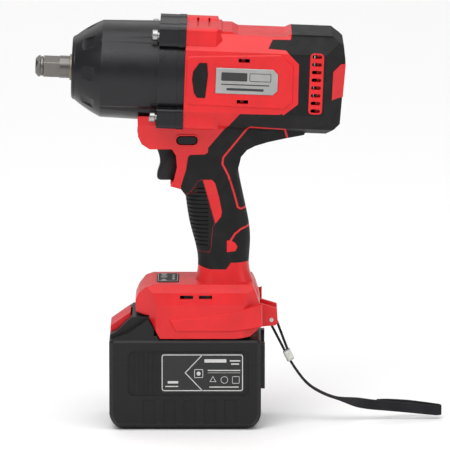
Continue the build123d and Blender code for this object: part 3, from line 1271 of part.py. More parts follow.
with BuildPart() as battery_terminals:
    for blade_y in BLADE_YS:
        for flip in (-1, 1):
            extrude(box_xyz(20.4, 30.0, blade_y + 1.05 * flip, 80.2, 86.8), amount=0.4, both=True)
write(battery_terminals.part, "battery_terminals")

with BuildPart() as battery_labels:
    with BuildSketch(side(-BATTERY_HALF_WIDTH + 1.2)):
        with Locations((13.4, 45.6)):
            RectangleRounded(63.4, 31.4, 1.0)
    extrude(amount=0.5)
    mirror(about=Plane.XZ)
write(battery_labels.part, "battery_labels")
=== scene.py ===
"""Looks of the cordless impact wrench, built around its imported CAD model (metres, row frame)."""
import json
import math

import bmesh
import bpy
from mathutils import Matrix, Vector

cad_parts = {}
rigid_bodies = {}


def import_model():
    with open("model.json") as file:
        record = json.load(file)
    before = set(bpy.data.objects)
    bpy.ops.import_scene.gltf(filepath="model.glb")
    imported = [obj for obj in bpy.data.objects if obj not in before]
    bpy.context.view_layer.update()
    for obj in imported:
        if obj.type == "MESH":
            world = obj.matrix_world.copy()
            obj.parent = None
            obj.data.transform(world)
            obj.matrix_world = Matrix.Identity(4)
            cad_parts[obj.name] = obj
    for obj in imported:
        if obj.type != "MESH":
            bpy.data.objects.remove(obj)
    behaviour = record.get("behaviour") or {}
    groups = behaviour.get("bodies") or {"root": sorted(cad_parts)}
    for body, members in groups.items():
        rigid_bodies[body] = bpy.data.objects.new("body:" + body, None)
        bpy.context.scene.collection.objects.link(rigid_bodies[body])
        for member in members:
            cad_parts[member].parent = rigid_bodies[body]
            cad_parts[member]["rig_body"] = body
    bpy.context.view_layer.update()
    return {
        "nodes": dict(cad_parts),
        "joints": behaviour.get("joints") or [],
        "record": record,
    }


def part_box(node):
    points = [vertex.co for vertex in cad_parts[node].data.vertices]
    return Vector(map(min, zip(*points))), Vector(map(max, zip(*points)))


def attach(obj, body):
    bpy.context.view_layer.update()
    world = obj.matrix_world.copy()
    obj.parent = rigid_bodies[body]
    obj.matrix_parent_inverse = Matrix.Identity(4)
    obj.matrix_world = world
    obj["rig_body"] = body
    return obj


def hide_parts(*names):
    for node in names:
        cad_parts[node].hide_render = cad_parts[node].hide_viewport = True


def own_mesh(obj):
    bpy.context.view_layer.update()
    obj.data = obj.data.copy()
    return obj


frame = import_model()
MM = 0.001

# ---- node helpers ----


class Shader:
    """A node material with its principled shader, and short ways to add nodes to it."""

    def __init__(self, name):
        self.material = bpy.data.materials.new(name)
        self.material.use_nodes = True
        self.nodes = self.material.node_tree.nodes
        self.links = self.material.node_tree.links
        self.surface = self.nodes["Principled BSDF"]
        self.place = self.add("ShaderNodeTexCoord").outputs["Object"]

    def add(self, kind, **settings):
        node = self.nodes.new(kind)
        for key, value in settings.items():
            setattr(node, key, value)
        return node

    def connect(self, source, target):
        if hasattr(source, "links"):
            self.links.new(source, target)
        else:
            target.default_value = source

    def noise(self, scale, detail=3.0, roughness=0.55, place=None):
        node = self.add("ShaderNodeTexNoise")
        self.links.new(place or self.place, node.inputs["Vector"])
        node.inputs["Scale"].default_value = scale
        node.inputs["Detail"].default_value = detail
        node.inputs["Roughness"].default_value = roughness
        return node.outputs["Fac"]

    def remap(self, value, low, high, out_low=0.0, out_high=1.0):
        node = self.add("ShaderNodeMapRange")
        self.links.new(value, node.inputs["Value"])
        for key, number in (("From Min", low), ("From Max", high), ("To Min", out_low), ("To Max", out_high)):
            node.inputs[key].default_value = number
        return node.outputs["Result"]

    def math(self, operation, first, second=0.0):
        node = self.add("ShaderNodeMath", operation=operation)
        self.connect(first, node.inputs[0])
        self.connect(second, node.inputs[1])
        return node.outputs["Value"]

    def mix(self, factor, first, second):
        node = self.add("ShaderNodeMix", data_type="RGBA")
        self.connect(factor, node.inputs["Factor"])
        self.connect(first, node.inputs["A"])
        self.connect(second, node.inputs["B"])
        return node.outputs["Result"]

    def stretched(self, scale):
        node = self.add("ShaderNodeMapping")
        self.links.new(self.place, node.inputs["Vector"])
        node.inputs["Scale"].default_value = scale
        return node.outputs["Vector"]

    def rounded_normal(self, radius):
        node = self.add("ShaderNodeBevel", samples=6)
        node.inputs["Radius"].default_value = radius
        return node.outputs["Normal"]

    def bump(self, height, distance, normal=None, strength=1.0):
        node = self.add("ShaderNodeBump")
        node.inputs["Strength"].default_value = strength
        node.inputs["Distance"].default_value = distance
        self.links.new(height, node.inputs["Height"])
        if normal:
            self.links.new(normal, node.inputs["Normal"])
        return node.outputs["Normal"]

    def edge_mask(self, radius):
        """One on sharp edges, nought on flats: how far a rounded normal leans from the real one."""
        rounded = self.rounded_normal(radius)
        flat = self.add("ShaderNodeNewGeometry").outputs["Normal"]
        dot = self.add("ShaderNodeVectorMath", operation="DOT_PRODUCT")
        self.links.new(rounded, dot.inputs[0])
        self.links.new(flat, dot.inputs[1])
        return self.remap(dot.outputs["Value"], 0.99, 0.86), rounded

    def finish(self, colour, roughness, normal=None, **settings):
        self.connect(colour, self.surface.inputs["Base Color"])
        self.connect(roughness, self.surface.inputs["Roughness"])
        if normal:
            self.links.new(normal, self.surface.inputs["Normal"])
        for key, value in settings.items():
            self.connect(value, self.surface.inputs[key.replace("_", " ")])
        return self.material


def moulded(name, colour, roughness, grain=0.45, depth=0.03, edge_radius=0.45, wear=0.0, **settings):
    """Moulded plastic: spark-eroded grain of grain mm, uneven gloss, softened and lightly rubbed edges."""
    shader = Shader(name)
    edges, rounded = shader.edge_mask(edge_radius * MM)
    fine = shader.noise(1000 / grain, 2.0, 0.6)
    broad = shader.noise(38.0, 4.0)
    normal = shader.bump(fine, depth * MM, rounded)
    light = tuple(min(1.0, c * 1.22 + 0.012) for c in colour) + (1.0,)
    dark = tuple(c * 0.86 for c in colour) + (1.0,)
    tone = shader.mix(shader.remap(broad, 0.35, 0.65), dark, colour + (1.0,))
    rubbed = shader.math("MULTIPLY", edges, wear)
    tone = shader.mix(rubbed, tone, light)
    gloss = shader.remap(shader.noise(210.0, 5.0), 0.3, 0.7, roughness - 0.05, roughness + 0.06)
    return shader.finish(tone, gloss, normal, **settings)


def rubbery(name, colour, roughness, grain=0.32, depth=0.05, edge_radius=0.5):
    """Soft overmould: dense fine grain with a little dust in it."""
    shader = Shader(name)
    edges, rounded = shader.edge_mask(edge_radius * MM)
    pebble = shader.add("ShaderNodeTexVoronoi")
    shader.links.new(shader.place, pebble.inputs["Vector"])
    pebble.inputs["Scale"].default_value = 1000 / grain
    height = shader.math("ADD", pebble.outputs["Distance"], shader.noise(2600.0, 2.0))
    normal = shader.bump(height, depth * MM, rounded)
    dusty = tuple(c * 1.9 + 0.006 for c in colour) + (1.0,)
    dust = shader.remap(shader.noise(65.0, 6.0, 0.65), 0.45, 0.75, 0.0, 0.5)
    tone = shader.mix(dust, colour + (1.0,), dusty)
    tone = shader.mix(shader.math("MULTIPLY", edges, 0.35), tone, dusty)
    gloss = shader.remap(shader.noise(170.0, 4.0), 0.3, 0.7, roughness - 0.06, roughness + 0.06)
    return shader.finish(tone, gloss, normal, Specular_IOR_Level=0.22)


def metal(name, colour, roughness, brushed=None, edge_radius=0.25, wear_colour=None, wear=0.0, cast=0.0,
          metallic=1.0):
    """Metal with directional brushing or cast grain, and edges worn towards wear_colour."""
    shader = Shader(name)
    edges, rounded = shader.edge_mask(edge_radius * MM)
    if brushed:
        streaks = shader.noise(1.0, 4.0, 0.6, shader.stretched(brushed))
        normal = shader.bump(streaks, 0.012 * MM, rounded)
    else:
        streaks = shader.noise(900.0, 4.0, 0.65)
        normal = shader.bump(streaks, max(cast, 0.004) * MM, rounded)
    smudge = shader.noise(55.0, 5.0, 0.6)
    gloss = shader.math("ADD", shader.remap(streaks, 0.3, 0.7, roughness - 0.06, roughness + 0.06),
                        shader.remap(smudge, 0.4, 0.7, 0.0, 0.09))
    dark = tuple(c * 0.8 for c in colour) + (1.0,)
    tone = shader.mix(shader.remap(smudge, 0.35, 0.65), dark, colour + (1.0,))
    if wear_colour:
        chips = shader.remap(shader.noise(420.0, 5.0, 0.7), 0.42, 0.6)
        mask = shader.math("MULTIPLY", shader.math("MULTIPLY", edges, chips), wear)
        tone = shader.mix(mask, tone, wear_colour + (1.0,))
    return shader.finish(tone, gloss, normal, Metallic=metallic)


# ---- finishes ----
RED = (0.72, 0.013, 0.017)
BLACK = (0.0065, 0.0065, 0.0072)
finishes = {
    "red_plastic": moulded("red_nylon", RED, 0.36, grain=0.4, depth=0.02, wear=0.3, Specular_IOR_Level=0.4),
    "black_overmould": rubbery("black_overmould", BLACK, 0.56),
    "black_plastic": moulded("black_nylon", (0.008, 0.008, 0.009), 0.42, grain=0.5, depth=0.035, wear=0.4,
                             Specular_IOR_Level=0.3),
    "grey_plastic": moulded("grey_nylon", (0.10, 0.10, 0.105), 0.45),
    "case_coat": metal("black_cast_case", (0.010, 0.010, 0.012), 0.30, cast=0.03, edge_radius=0.5,
                       wear_colour=(0.16, 0.16, 0.17), wear=0.3, metallic=0.35),
    "drive_steel": metal("drive_steel", (0.17, 0.16, 0.15), 0.3, brushed=(60.0, 1400.0, 1400.0),
                         edge_radius=0.4, wear_colour=(0.62, 0.60, 0.57), wear=0.9),
    "plain_steel": metal("plain_steel", (0.55, 0.55, 0.56), 0.28, brushed=(1500.0, 90.0, 90.0)),
    "bronze": metal("sintered_bronze", (0.30, 0.26, 0.21), 0.42, cast=0.02),
    "screw_zinc": metal("zinc_plate", (0.42, 0.42, 0.42), 0.27),
    "copper": metal("copper_wire", (0.72, 0.28, 0.1), 0.35),
    "laminations": metal("laminated_steel", (0.3, 0.3, 0.31), 0.4, brushed=(2800.0, 20.0, 20.0)),
    "plate_silver": metal("satin_foil", (0.50, 0.495, 0.49), 0.36, brushed=(40.0, 900.0, 1800.0)),
    "panel_film": moulded("panel_film", (0.035, 0.035, 0.037), 0.6, grain=0.3, depth=0.004,
                          Specular_IOR_Level=0.2),
    "circuit": moulded("solder_mask", (0.01, 0.08, 0.03), 0.3),
    "label_film": moulded("label_film", (0.004, 0.004, 0.005), 0.2, grain=0.8, depth=0.002),
    "cell_wrap": moulded("cell_wrap", (0.02, 0.1, 0.3), 0.3),
    "cord": rubbery("strap_cord", (0.010, 0.010, 0.011), 0.7),
    "webbing": rubbery("strap_webbing", (0.012, 0.012, 0.014), 0.72),
}


def clear(name, colour, roughness, transmission):
    """Clear or milky moulded plastic."""
    shader = Shader(name)
    swirl = shader.noise(160.0, 3.0)
    normal = shader.bump(swirl, 0.05 * MM, shader.rounded_normal(0.4 * MM))
    gloss = shader.remap(swirl, 0.3, 0.7, roughness - 0.03, roughness + 0.06)
    return shader.finish(colour + (1.0,), gloss, normal, Transmission_Weight=transmission, IOR=1.49)


finishes["lens"] = clear("lens_clear", (0.9, 0.93, 0.95), 0.06, 0.85)
finishes["clear_sleeve"] = clear("sleeve_clear", (0.8, 0.8, 0.76), 0.2, 0.6)

slot_of = {entry["node"]: entry["material_slot"] for entry in frame["record"]["subparts"]}
SMOOTH_ANGLE = math.radians(32)
for node_name, node in frame["nodes"].items():
    node.data.materials.clear()
    node.data.materials.append(finishes[slot_of[node_name]])
    node.data.shade_smooth()
    node.data.set_sharp_from_angle(angle=SMOOTH_ANGLE)

# ---- mesh helpers ----


def new_object(name, mesh, finish, body, replaced=()):
    """Link a finished mesh, give it its material and make it ride on its body."""
    piece = bpy.data.objects.new(name, mesh)
    bpy.context.scene.collection.objects.link(piece)
    mesh.materials.append(finish)
    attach(piece, body)
    if replaced:
        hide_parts(*replaced)
    return piece


def loft(mesh, rings):
    """Join neighbouring rings of vertices with quads and cap both ends."""
    for first, second in zip(rings, rings[1:]):
        for k in range(len(first)):
            following = (k + 1) % len(first)
            mesh.faces.new((first[k], first[following], second[following], second[k]))
    mesh.faces.new(rings[0])
    mesh.faces.new(list(reversed(rings[-1])))


def mesh_data(mesh, name):
    """Turn a finished bmesh into mesh data with its faces looking outwards."""
    bmesh.ops.recalc_face_normals(mesh, faces=mesh.faces)
    data = bpy.data.meshes.new(name)
    mesh.to_mesh(data)
    mesh.free()
    return data


def smooth_path(points, steps):
    """Points evenly spread by step count along a Catmull-Rom curve through the given points."""
    padded = [points[0] * 2 - points[1]] + points + [points[-1] * 2 - points[-2]]
    path = []
    for i in range(1, len(padded) - 2):
        before, here, there, after = padded[i - 1:i + 3]
        for k in range(steps):
            t = k / steps
            path.append(0.5 * ((2 * here) + (there - before) * t
                               + (2 * before - 5 * here + 4 * there - after) * t * t
                               + (3 * here - before - 3 * there + after) * t ** 3))
    path.append(points[-1])
    return path


def resample(path, spacing):
    """The same path with points a fixed length apart."""
    result = [path[0]]
    carried = 0.0
    for start, end in zip(path, path[1:]):
        length = (end - start).length
        while carried + length >= spacing:
            start = start.lerp(end, (spacing - carried) / length)
            result.append(start)
            length = (end - start).length
            carried = 0.0
        carried += length
    return result


# ---- wrist strap ----
WEB_WIDTH = 8.0 * MM
WEB_THICKNESS = 1.5 * MM
WEB_STEP = 0.45 * MM
WEB_COLUMNS = 10
SELVEDGE = 0.44              # the band thins beyond this share of its width
SELVEDGE_SLOPE = 7.0
LOW_PICK = 0.66


def webbing(name, path, width_dirs, width, thickness):
    """Woven band along a path: rows of picks stand proud and alternate between neighbouring ribs."""
    mesh = bmesh.new()
    rows = []
    for i, point in enumerate(path):
        ahead = (path[min(i + 1, len(path) - 1)] - path[max(i - 1, 0)]).normalized()
        wide = (width_dirs[i] - ahead * width_dirs[i].dot(ahead)).normalized()
        out = wide.cross(ahead)
        row = []
        for side in (1, -1):
            for k in range(WEB_COLUMNS + 1):
                across = (k / WEB_COLUMNS - 0.5) * side
                selvedge = 1.0 - max(0.0, abs(across) - SELVEDGE) * SELVEDGE_SLOPE
                pick = 1.0 if (i // 2 + k) % 2 else LOW_PICK
                rib = 0.5 * thickness * selvedge * pick
                row.append(mesh.verts.new(point + wide * (across * width) + out * (rib * side)))
        rows.append(row)
    loft(mesh, rows)
    data = mesh_data(mesh, name)
    data.shade_smooth()
    return data


CORD_STEP = 0.35 * MM
STRAND_SHARE = 0.52
STRAND_CORNERS = 8


def twisted_cord(name, path, radius, strands, lay):
    """Cord of round strands twisted about a path; lay is the length of one full twist."""
    mesh = bmesh.new()
    strand_radius = radius * STRAND_SHARE
    for strand in range(strands):
        rings = []
        for i, point in enumerate(path):
            ahead = (path[min(i + 1, len(path) - 1)] - path[max(i - 1, 0)]).normalized()
            across = Vector((0.0, 1.0, 0.0))
            out = ahead.cross(across).normalized()
            across = out.cross(ahead).normalized()
            turn = 2 * math.pi * (strand / strands + i * CORD_STEP / lay)
            heart = point + (across * math.cos(turn) + out * math.sin(turn)) * (radius - strand_radius)
            rings.append([mesh.verts.new(heart + (across * math.cos(a) + out * math.sin(a)) * strand_radius)
                          for a in (2 * math.pi * k / STRAND_CORNERS for k in range(STRAND_CORNERS))])
        loft(mesh, rings)
    data = mesh_data(mesh, name)
    data.shade_smooth()
    return data


# the band leaves the sleeve flat, turns on its edge and ends in an upright loop open at the side
web_low, web_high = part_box("strap_webbing")
web_size = web_high - web_low
# fractions of the band's box along X and up Z, with the distance off the middle plane (mm) between them
WEB_ROUTE = [(0.0, 0.0, 0.985), (0.045, 0.0, 0.81), (0.10, 0.0, 0.635), (0.168, 0.0, 0.50),
             (0.272, 0.0, 0.38), (0.402, 0.0, 0.30), (0.52, 0.0, 0.25), (0.64, 0.4, 0.222),
             (0.79, 2.6, 0.178), (0.93, 4.0, 0.137), (0.978, 6.4, 0.125), (0.981, 9.6, 0.125),
             (0.94, 11.8, 0.134), (0.78, 12.6, 0.182), (0.64, 7.6, 0.224), (0.565, 1.9, 0.246)]
PATH_STEPS = 12
web_points = [Vector((web_low.x + fx * web_size.x, y * MM, web_low.z + fz * web_size.z))
              for fx, y, fz in WEB_ROUTE]
web_path = resample(smooth_path(web_points, PATH_STEPS), WEB_STEP)
TWIST_FROM = 46 * MM         # the band turns from flat to upright between these lengths
TWIST_TO = 80 * MM
width_dirs = []
for i in range(len(web_path)):
    turned = min(1.0, max(0.0, (i * WEB_STEP - TWIST_FROM) / (TWIST_TO - TWIST_FROM)))
    turned = turned * turned * (3.0 - 2.0 * turned)
    width_dirs.append(Vector((0.0, math.cos(turned * math.pi / 2), math.sin(turned * math.pi / 2))))
web_mesh = webbing("strap_webbing_woven", web_path, width_dirs, WEB_WIDTH, WEB_THICKNESS)
new_object("strap_webbing_woven", web_mesh, finishes["webbing"], "strap", ["strap_webbing"])

# the cord hangs as a loop from the pin and its two legs run down into the sleeve
pin_low, pin_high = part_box("lanyard_pin")
sleeve_low, sleeve_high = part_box("strap_sleeve")
PIN = (pin_low + pin_high) / 2
SLEEVE = (sleeve_low + sleeve_high) / 2
SLEEVE_AXIS = Vector((3.6, 0.0, -7.4)).normalized()
SLEEVE_REACH = 4.3 * MM      # from the sleeve's middle to just above its top
LEG_OFFSET = 1.2 * MM
CORD_RADIUS = 1.1 * MM
CORD_GAP = 0.15 * MM
CORD_STRANDS = 3
CORD_LAY = 5.0 * MM
LOOP_STEPS = 12
loop_radius = (pin_high.z - pin_low.z) / 2 + CORD_RADIUS + CORD_GAP
sleeve_top = SLEEVE - SLEEVE_AXIS * SLEEVE_REACH
pin_side = Vector((-SLEEVE_AXIS.z, 0.0, SLEEVE_AXIS.x))
cord_points = [sleeve_top - pin_side * LEG_OFFSET]
for k in range(LOOP_STEPS + 1):
    angle = math.pi * (1.0 - k / LOOP_STEPS)
    cord_points.append(PIN - SLEEVE_AXIS * (math.sin(angle) * loop_radius)
                       + pin_side * (math.cos(angle) * loop_radius))
cord_points.append(sleeve_top + pin_side * LEG_OFFSET)
cord_mesh = twisted_cord("strap_cord_twisted", resample(cord_points, CORD_STEP), CORD_RADIUS, CORD_STRANDS,
                         CORD_LAY)
new_object("strap_cord_twisted", cord_mesh, finishes["cord"], "strap", ["strap_cord"])

# ---- cooling fan: a backed radial fan, close behind the vent slots ----
fan_low, fan_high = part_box("cooling_fan")
spin = next(joint for joint in frame["joints"] if joint["name"] == "spindle_spin")
ALONG = Vector(spin["axis"]).normalized()
UP = Vector((-ALONG.z, 0.0, ALONG.x))
FAN_BLADES = 13
FAN_CORNERS = 72
FAN_HUB = 4.2 * MM
FAN_BOSS = 3.2 * MM
FAN_FILLET = 1.4 * MM
FAN_PLATE = 1.6 * MM
FAN_LEAN = 0.9 * MM          # the tilted fan fills its box by this much more than its thickness
FAN_BACK = 3.0 * MM          # the back plate stands this far behind the plain fan
BLADE_STEPS = 6
BLADE_SWEEP = 0.55
BLADE_CURVE = 1.4
BLADE_HALF = 0.7 * MM
BLADE_SUNK = 0.2 * MM        # the blades start inside the boss
BLADE_EDGE = (1.4 * MM, 1.2 * MM)


def fan(name, centre, radius, hub_radius, front, back, plate):
    """Back plate, hub and swept blades; front, back and plate are distances along the drive axis."""
    mesh = bmesh.new()

    def spot(distance, reach, angle):
        return mesh.verts.new(centre + ALONG * distance + UP * (reach * math.cos(angle))
                              + Vector((0.0, reach * math.sin(angle), 0.0)))

    boss = hub_radius + FAN_BOSS
    profile = [(front, hub_radius), (front, boss), (back - plate, boss + FAN_FILLET),
               (back - plate, radius), (back, radius), (back, hub_radius)]
    corners = FAN_CORNERS
    rings = [[spot(distance, reach, 2 * math.pi * k / corners) for distance, reach in profile]
             for k in range(corners)]
    for k in range(corners):
        first, second = rings[k], rings[(k + 1) % corners]
        for n in range(len(profile)):
            following = (n + 1) % len(profile)
            mesh.faces.new((first[n], first[following], second[following], second[n]))
    for blade in range(FAN_BLADES):
        start = 2 * math.pi * blade / FAN_BLADES
        sections = []
        for step in range(BLADE_STEPS + 1):
            share = step / BLADE_STEPS
            reach = boss - BLADE_SUNK + share * (radius - boss)
            angle = start + BLADE_SWEEP * share ** BLADE_CURVE
            half = BLADE_HALF / reach
            edge = front + BLADE_EDGE[0] + share * BLADE_EDGE[1]
            sections.append([spot(edge, reach, angle - half), spot(edge, reach, angle + half),
                             spot(back - plate * 0.5, reach, angle + half),
                             spot(back - plate * 0.5, reach, angle - half)])
        loft(mesh, sections)
    return mesh_data(mesh, name)


fan_centre = (fan_low + fan_high) / 2
fan_radius = (fan_high.y - fan_low.y) / 2
fan_half = (fan_high.x - fan_low.x) / 2 - FAN_LEAN
fan_mesh = fan("cooling_fan_swept", fan_centre, fan_radius, FAN_HUB, -fan_half, fan_half + FAN_BACK,
               FAN_PLATE)
new_object("cooling_fan_swept", fan_mesh, finishes[slot_of["cooling_fan"]], "rotor",
           ["cooling_fan"])

# ---- trigger: a rounded finger piece whose rear edge reaches in behind the grip's walls ----
# outlines in mm from the box's lower front corner; sections pair a share of the half width with an inset
TRIGGER_FRONT = [(0.0, 27.6), (4.2, 25.0), (6.6, 18.4), (6.9, 12.4), (5.3, 6.8), (4.6, 3.4), (5.4, 1.0),
                 (7.5, 0.0)]
TRIGGER_REAR = [(17.3, 0.0), (20.6, 7.4), (21.6, 14.9), (21.0, 21.4), (17.8, 25.8), (14.5, 27.6)]
TRIGGER_SECTIONS = [(-1.0, 1.1), (-0.955, 0.4), (-0.86, 0.0), (0.86, 0.0), (0.955, 0.4), (1.0, 1.1)]
STEM_REACH = (18.0, 38.8)
STEM_HEIGHT = 14.4
STEM_RADIUS = 1.7
STEM_CORNERS = 20
FRONT_STEPS = 5


def shrunk(points, distance):
    """A closed outline drawn in by a distance; its corners run anticlockwise."""
    result = []
    for i, point in enumerate(points):
        into = (point - points[i - 1]).normalized()
        out = (points[(i + 1) % len(points)] - point).normalized()
        result.append(point + Vector((-(into.y + out.y), into.x + out.x)).normalized() * distance)
    return result


def trigger_mesh(name, corner, half_width):
    """Finger piece lofted across Y from drawn-in outlines, with its round stem behind."""
    mesh = bmesh.new()
    front = smooth_path([Vector(point) for point in TRIGGER_FRONT], FRONT_STEPS)
    profile = front + [Vector(point) for point in TRIGGER_REAR]
    rings = []
    for share, inset in TRIGGER_SECTIONS:
        rings.append([mesh.verts.new(corner + Vector((point.x * MM, share * half_width, point.y * MM)))
                      for point in shrunk(profile, inset)])
    stem = []
    for reach in STEM_REACH:
        stem.append([mesh.verts.new(corner + Vector((reach, math.cos(a) * STEM_RADIUS,
                                                     STEM_HEIGHT + math.sin(a) * STEM_RADIUS)) * MM)
                     for a in (2 * math.pi * k / STEM_CORNERS for k in range(STEM_CORNERS))])
    loft(mesh, rings)
    loft(mesh, stem)
    data = mesh_data(mesh, name)
    data.shade_smooth()
    data.set_sharp_from_angle(angle=SMOOTH_ANGLE)
    return data


trigger_low, trigger_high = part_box("trigger")
trigger_corner = Vector((trigger_low.x, 0.0, trigger_low.z))
trigger_half_width = (trigger_high.y - trigger_low.y) / 2
trigger_piece = trigger_mesh("trigger_rounded", trigger_corner, trigger_half_width)
new_object("trigger_rounded", trigger_piece, finishes[slot_of["trigger"]], "trigger",
           ["trigger"])

# ---- compression springs: round-wire coils that ride on their bodies ----
COIL_STEPS = 40
WIRE_CORNERS = 10


def coil(name, middle, axis, length, outer, wire, turns):
    """Round-wire coil about an axis square to Y."""
    mesh = bmesh.new()
    across = Vector((0.0, 1.0, 0.0))
    up = axis.cross(across)
    steps = round(turns * COIL_STEPS)
    rings = []
    for i in range(steps + 1):
        angle = 2 * math.pi * turns * i / steps
        radial = across * math.cos(angle) + up * math.sin(angle)
        heart = middle + axis * ((i / steps - 0.5) * (length - 2 * wire)) + radial * (outer - wire)
        rings.append([mesh.verts.new(heart + (radial * math.cos(a) + axis * math.sin(a)) * wire)
                      for a in (2 * math.pi * k / WIRE_CORNERS for k in range(WIRE_CORNERS))])
    loft(mesh, rings)
    data = mesh_data(mesh, name)
    data.shade_smooth()
    return data


# node, direction towards its fixed seat, wire radius, turns, length cut off its free end, its joint, and
# the share of its length left at the joint's limit
SPRINGS = [("hammer_spring", ALONG, 1.1 * MM, 3.5, 0.0, "hammer_slide", 0.53),
           ("trigger_spring", Vector((1.0, 0.0, 0.0)), 0.45 * MM, 3.75, 1.6 * MM, "trigger_pull", 0.33),
           ("latch_spring", Vector((0.0, 0.0, -1.0)), 0.3 * MM, 2.0, 0.1 * MM, "latch_press", 0.06)]
for spring, axis, wire, turns, cut, joint, share in SPRINGS:
    spring_low, spring_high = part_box(spring)
    spring_size = spring_high - spring_low
    outer = spring_size.y / 2
    if abs(axis.x) > abs(axis.z):
        length = (spring_size.x - 2 * outer * abs(axis.z)) / abs(axis.x) - cut
    else:
        length = spring_size.z - cut
    middle = (spring_low + spring_high) / 2 + axis * (cut / 2)
    body = frame["nodes"][spring]["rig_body"]
    coil_name = spring + "_coil"
    piece = new_object(coil_name, coil(coil_name, middle, axis, length, outer, wire, turns),
                       finishes[slot_of[spring]], body, [spring])
    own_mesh(piece)

# ---- printed marks ----
INK_DEPTH = 0.06 * MM


def strip(points, width, closed=False):
    """Quads of a line of constant width, mitred at its corners; points are 2-D vectors."""
    count = len(points)
    left, right = [], []
    for i, point in enumerate(points):
        before = points[(i - 1) % count] if closed or i > 0 else None
        after = points[(i + 1) % count] if closed or i < count - 1 else None
        into = (point - before).normalized() if before is not None else (after - point).normalized()
        out = (after - point).normalized() if after is not None else into
        normal = Vector((-(into.y + out.y), into.x + out.x)).normalized()
        reach = width / 2 / max(0.35, normal.dot(Vector((-into.y, into.x))))
        left.append(point + normal * reach)
        right.append(point - normal * reach)
    last = count if closed else count - 1
    return [[left[i], left[(i + 1) % count], right[(i + 1) % count], right[i]] for i in range(last)]


def rounded_box(centre, width, height, radius, steps=5):
    """Corner-rounded rectangle as a closed list of 2-D vectors."""
    points = []
    for quarter, (sx, sy) in enumerate(((1, 1), (-1, 1), (-1, -1), (1, -1))):
        hub = centre + Vector((sx * (width / 2 - radius), sy * (height / 2 - radius)))
        for k in range(steps + 1):
            angle = math.pi / 2 * (quarter + k / steps)
            points.append(hub + radius * Vector((math.cos(angle), math.sin(angle))))
    return points


def disc(centre, radius, steps=20):
    return [centre + radius * Vector((math.cos(2 * math.pi * k / steps), math.sin(2 * math.pi * k / steps)))
            for k in range(steps)]


def printed(name, polygons, place, finish, body, depth=INK_DEPTH):
    """Thin raised print: each flat polygon becomes a slab; place turns (x, y, lift) into 3-D."""
    mesh = bmesh.new()
    for polygon in polygons:
        foot = [mesh.verts.new(place(point.x, point.y, -depth)) for point in polygon]
        top = [mesh.verts.new(place(point.x, point.y, depth)) for point in polygon]
        count = len(polygon)
        mesh.faces.new(top)
        mesh.faces.new(list(reversed(foot)))
        for k in range(count):
            mesh.faces.new((foot[k], foot[(k + 1) % count], top[(k + 1) % count], top[k]))
    return new_object(name, mesh_data(mesh, name), finish, body)


white_ink = moulded("white_ink", (0.62, 0.62, 0.61), 0.45, grain=0.2, depth=0.002)
black_ink = moulded("black_ink", (0.03, 0.03, 0.032), 0.4, grain=0.2, depth=0.002)


def label_marks(width, height):
    """Generic battery label art about the label's middle: frame, chevron, blank bars and plain icons."""
    marks = strip(rounded_box(Vector((0, 0)), width * 0.985, height * 0.90, 1.6 * MM), 0.75 * MM, True)
    left = -width * 0.49
    tip = Vector((-width * 0.21, 0.0))
    reach = height * 0.45
    marks += strip([Vector((left + width * 0.49, reach)), tip, Vector((left + width * 0.49, -reach))],
                   0.7 * MM)
    bars = ((0.16, 0.30, 0.27, 0.085), (0.40, 0.30, 0.13, 0.035), (0.40, 0.22, 0.10, 0.035),
            (0.265, 0.06, 0.40, 0.028), (0.265, 0.0, 0.40, 0.012), (0.265, -0.36, 0.36, 0.028),
            (-0.375, -0.345, 0.16, 0.028), (-0.36, -0.24, 0.13, 0.06))
    for cx, cy, bar_width, bar_height in bars:
        marks.append(rounded_box(Vector((cx * width, cy * height)), bar_width * width,
                                 bar_height * height, 0.2 * MM, 2))
    icon_y = -0.18 * height
    size = 0.085 * height
    triangle = [Vector((0.13 * width + size * math.cos(a), icon_y + size * math.sin(a)))
                for a in (math.pi / 2, math.pi * 7 / 6, math.pi * 11 / 6)]
    marks += strip(triangle, 0.45 * MM, True)
    marks += strip(disc(Vector((0.27 * width, icon_y)), size), 0.45 * MM, True)
    marks += strip(rounded_box(Vector((0.41 * width, icon_y)), 2 * size, 2 * size, 0.4 * MM, 3), 0.45 * MM,
                   True)
    marks += strip(rounded_box(Vector((-0.045 * width, -0.02 * height)), 2.4 * size, 2.4 * size, 0.3 * MM, 2),
                   0.5 * MM, True)
    marks.append(disc(Vector((-0.045 * width, -0.02 * height)), size * 0.6))
    return marks


label_low, label_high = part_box("battery_labels")
label_middle = (label_low + label_high) / 2
label_polygons = label_marks(label_high.x - label_low.x, label_high.z - label_low.z)
for side_name, side in (("left", -1), ("right", 1)):
    face_y = label_low.y if side < 0 else label_high.y

    def on_label(x, y, lift, side=side, face_y=face_y):
        return Vector((label_middle.x - side * x, face_y + side * lift, label_middle.z + y))

    printed(f"label_print_{side_name}", label_polygons, on_label, white_ink, "battery")



def plate_marks(width, height):
    """Blank nameplate art: a dark bar with a light half, and two plain rules."""
    dark = [rounded_box(Vector((-0.20 * width, 0.17 * height)), 0.42 * width, 0.34 * height, 0.8 * MM, 4)]
    light = rounded_box(Vector((0.22 * width, 0.17 * height)), 0.34 * width, 0.31 * height, 0.8 * MM, 4)
    dark += strip(light, 0.5 * MM, True)
    for row, (length, thick) in enumerate(((0.78, 0.045), (0.60, 0.10))):
        dark.append(rounded_box(Vector((-0.02 * width, (-0.14 - 0.19 * row) * height)), length * width,
                                thick * height, 0.2 * MM, 2))
    return dark


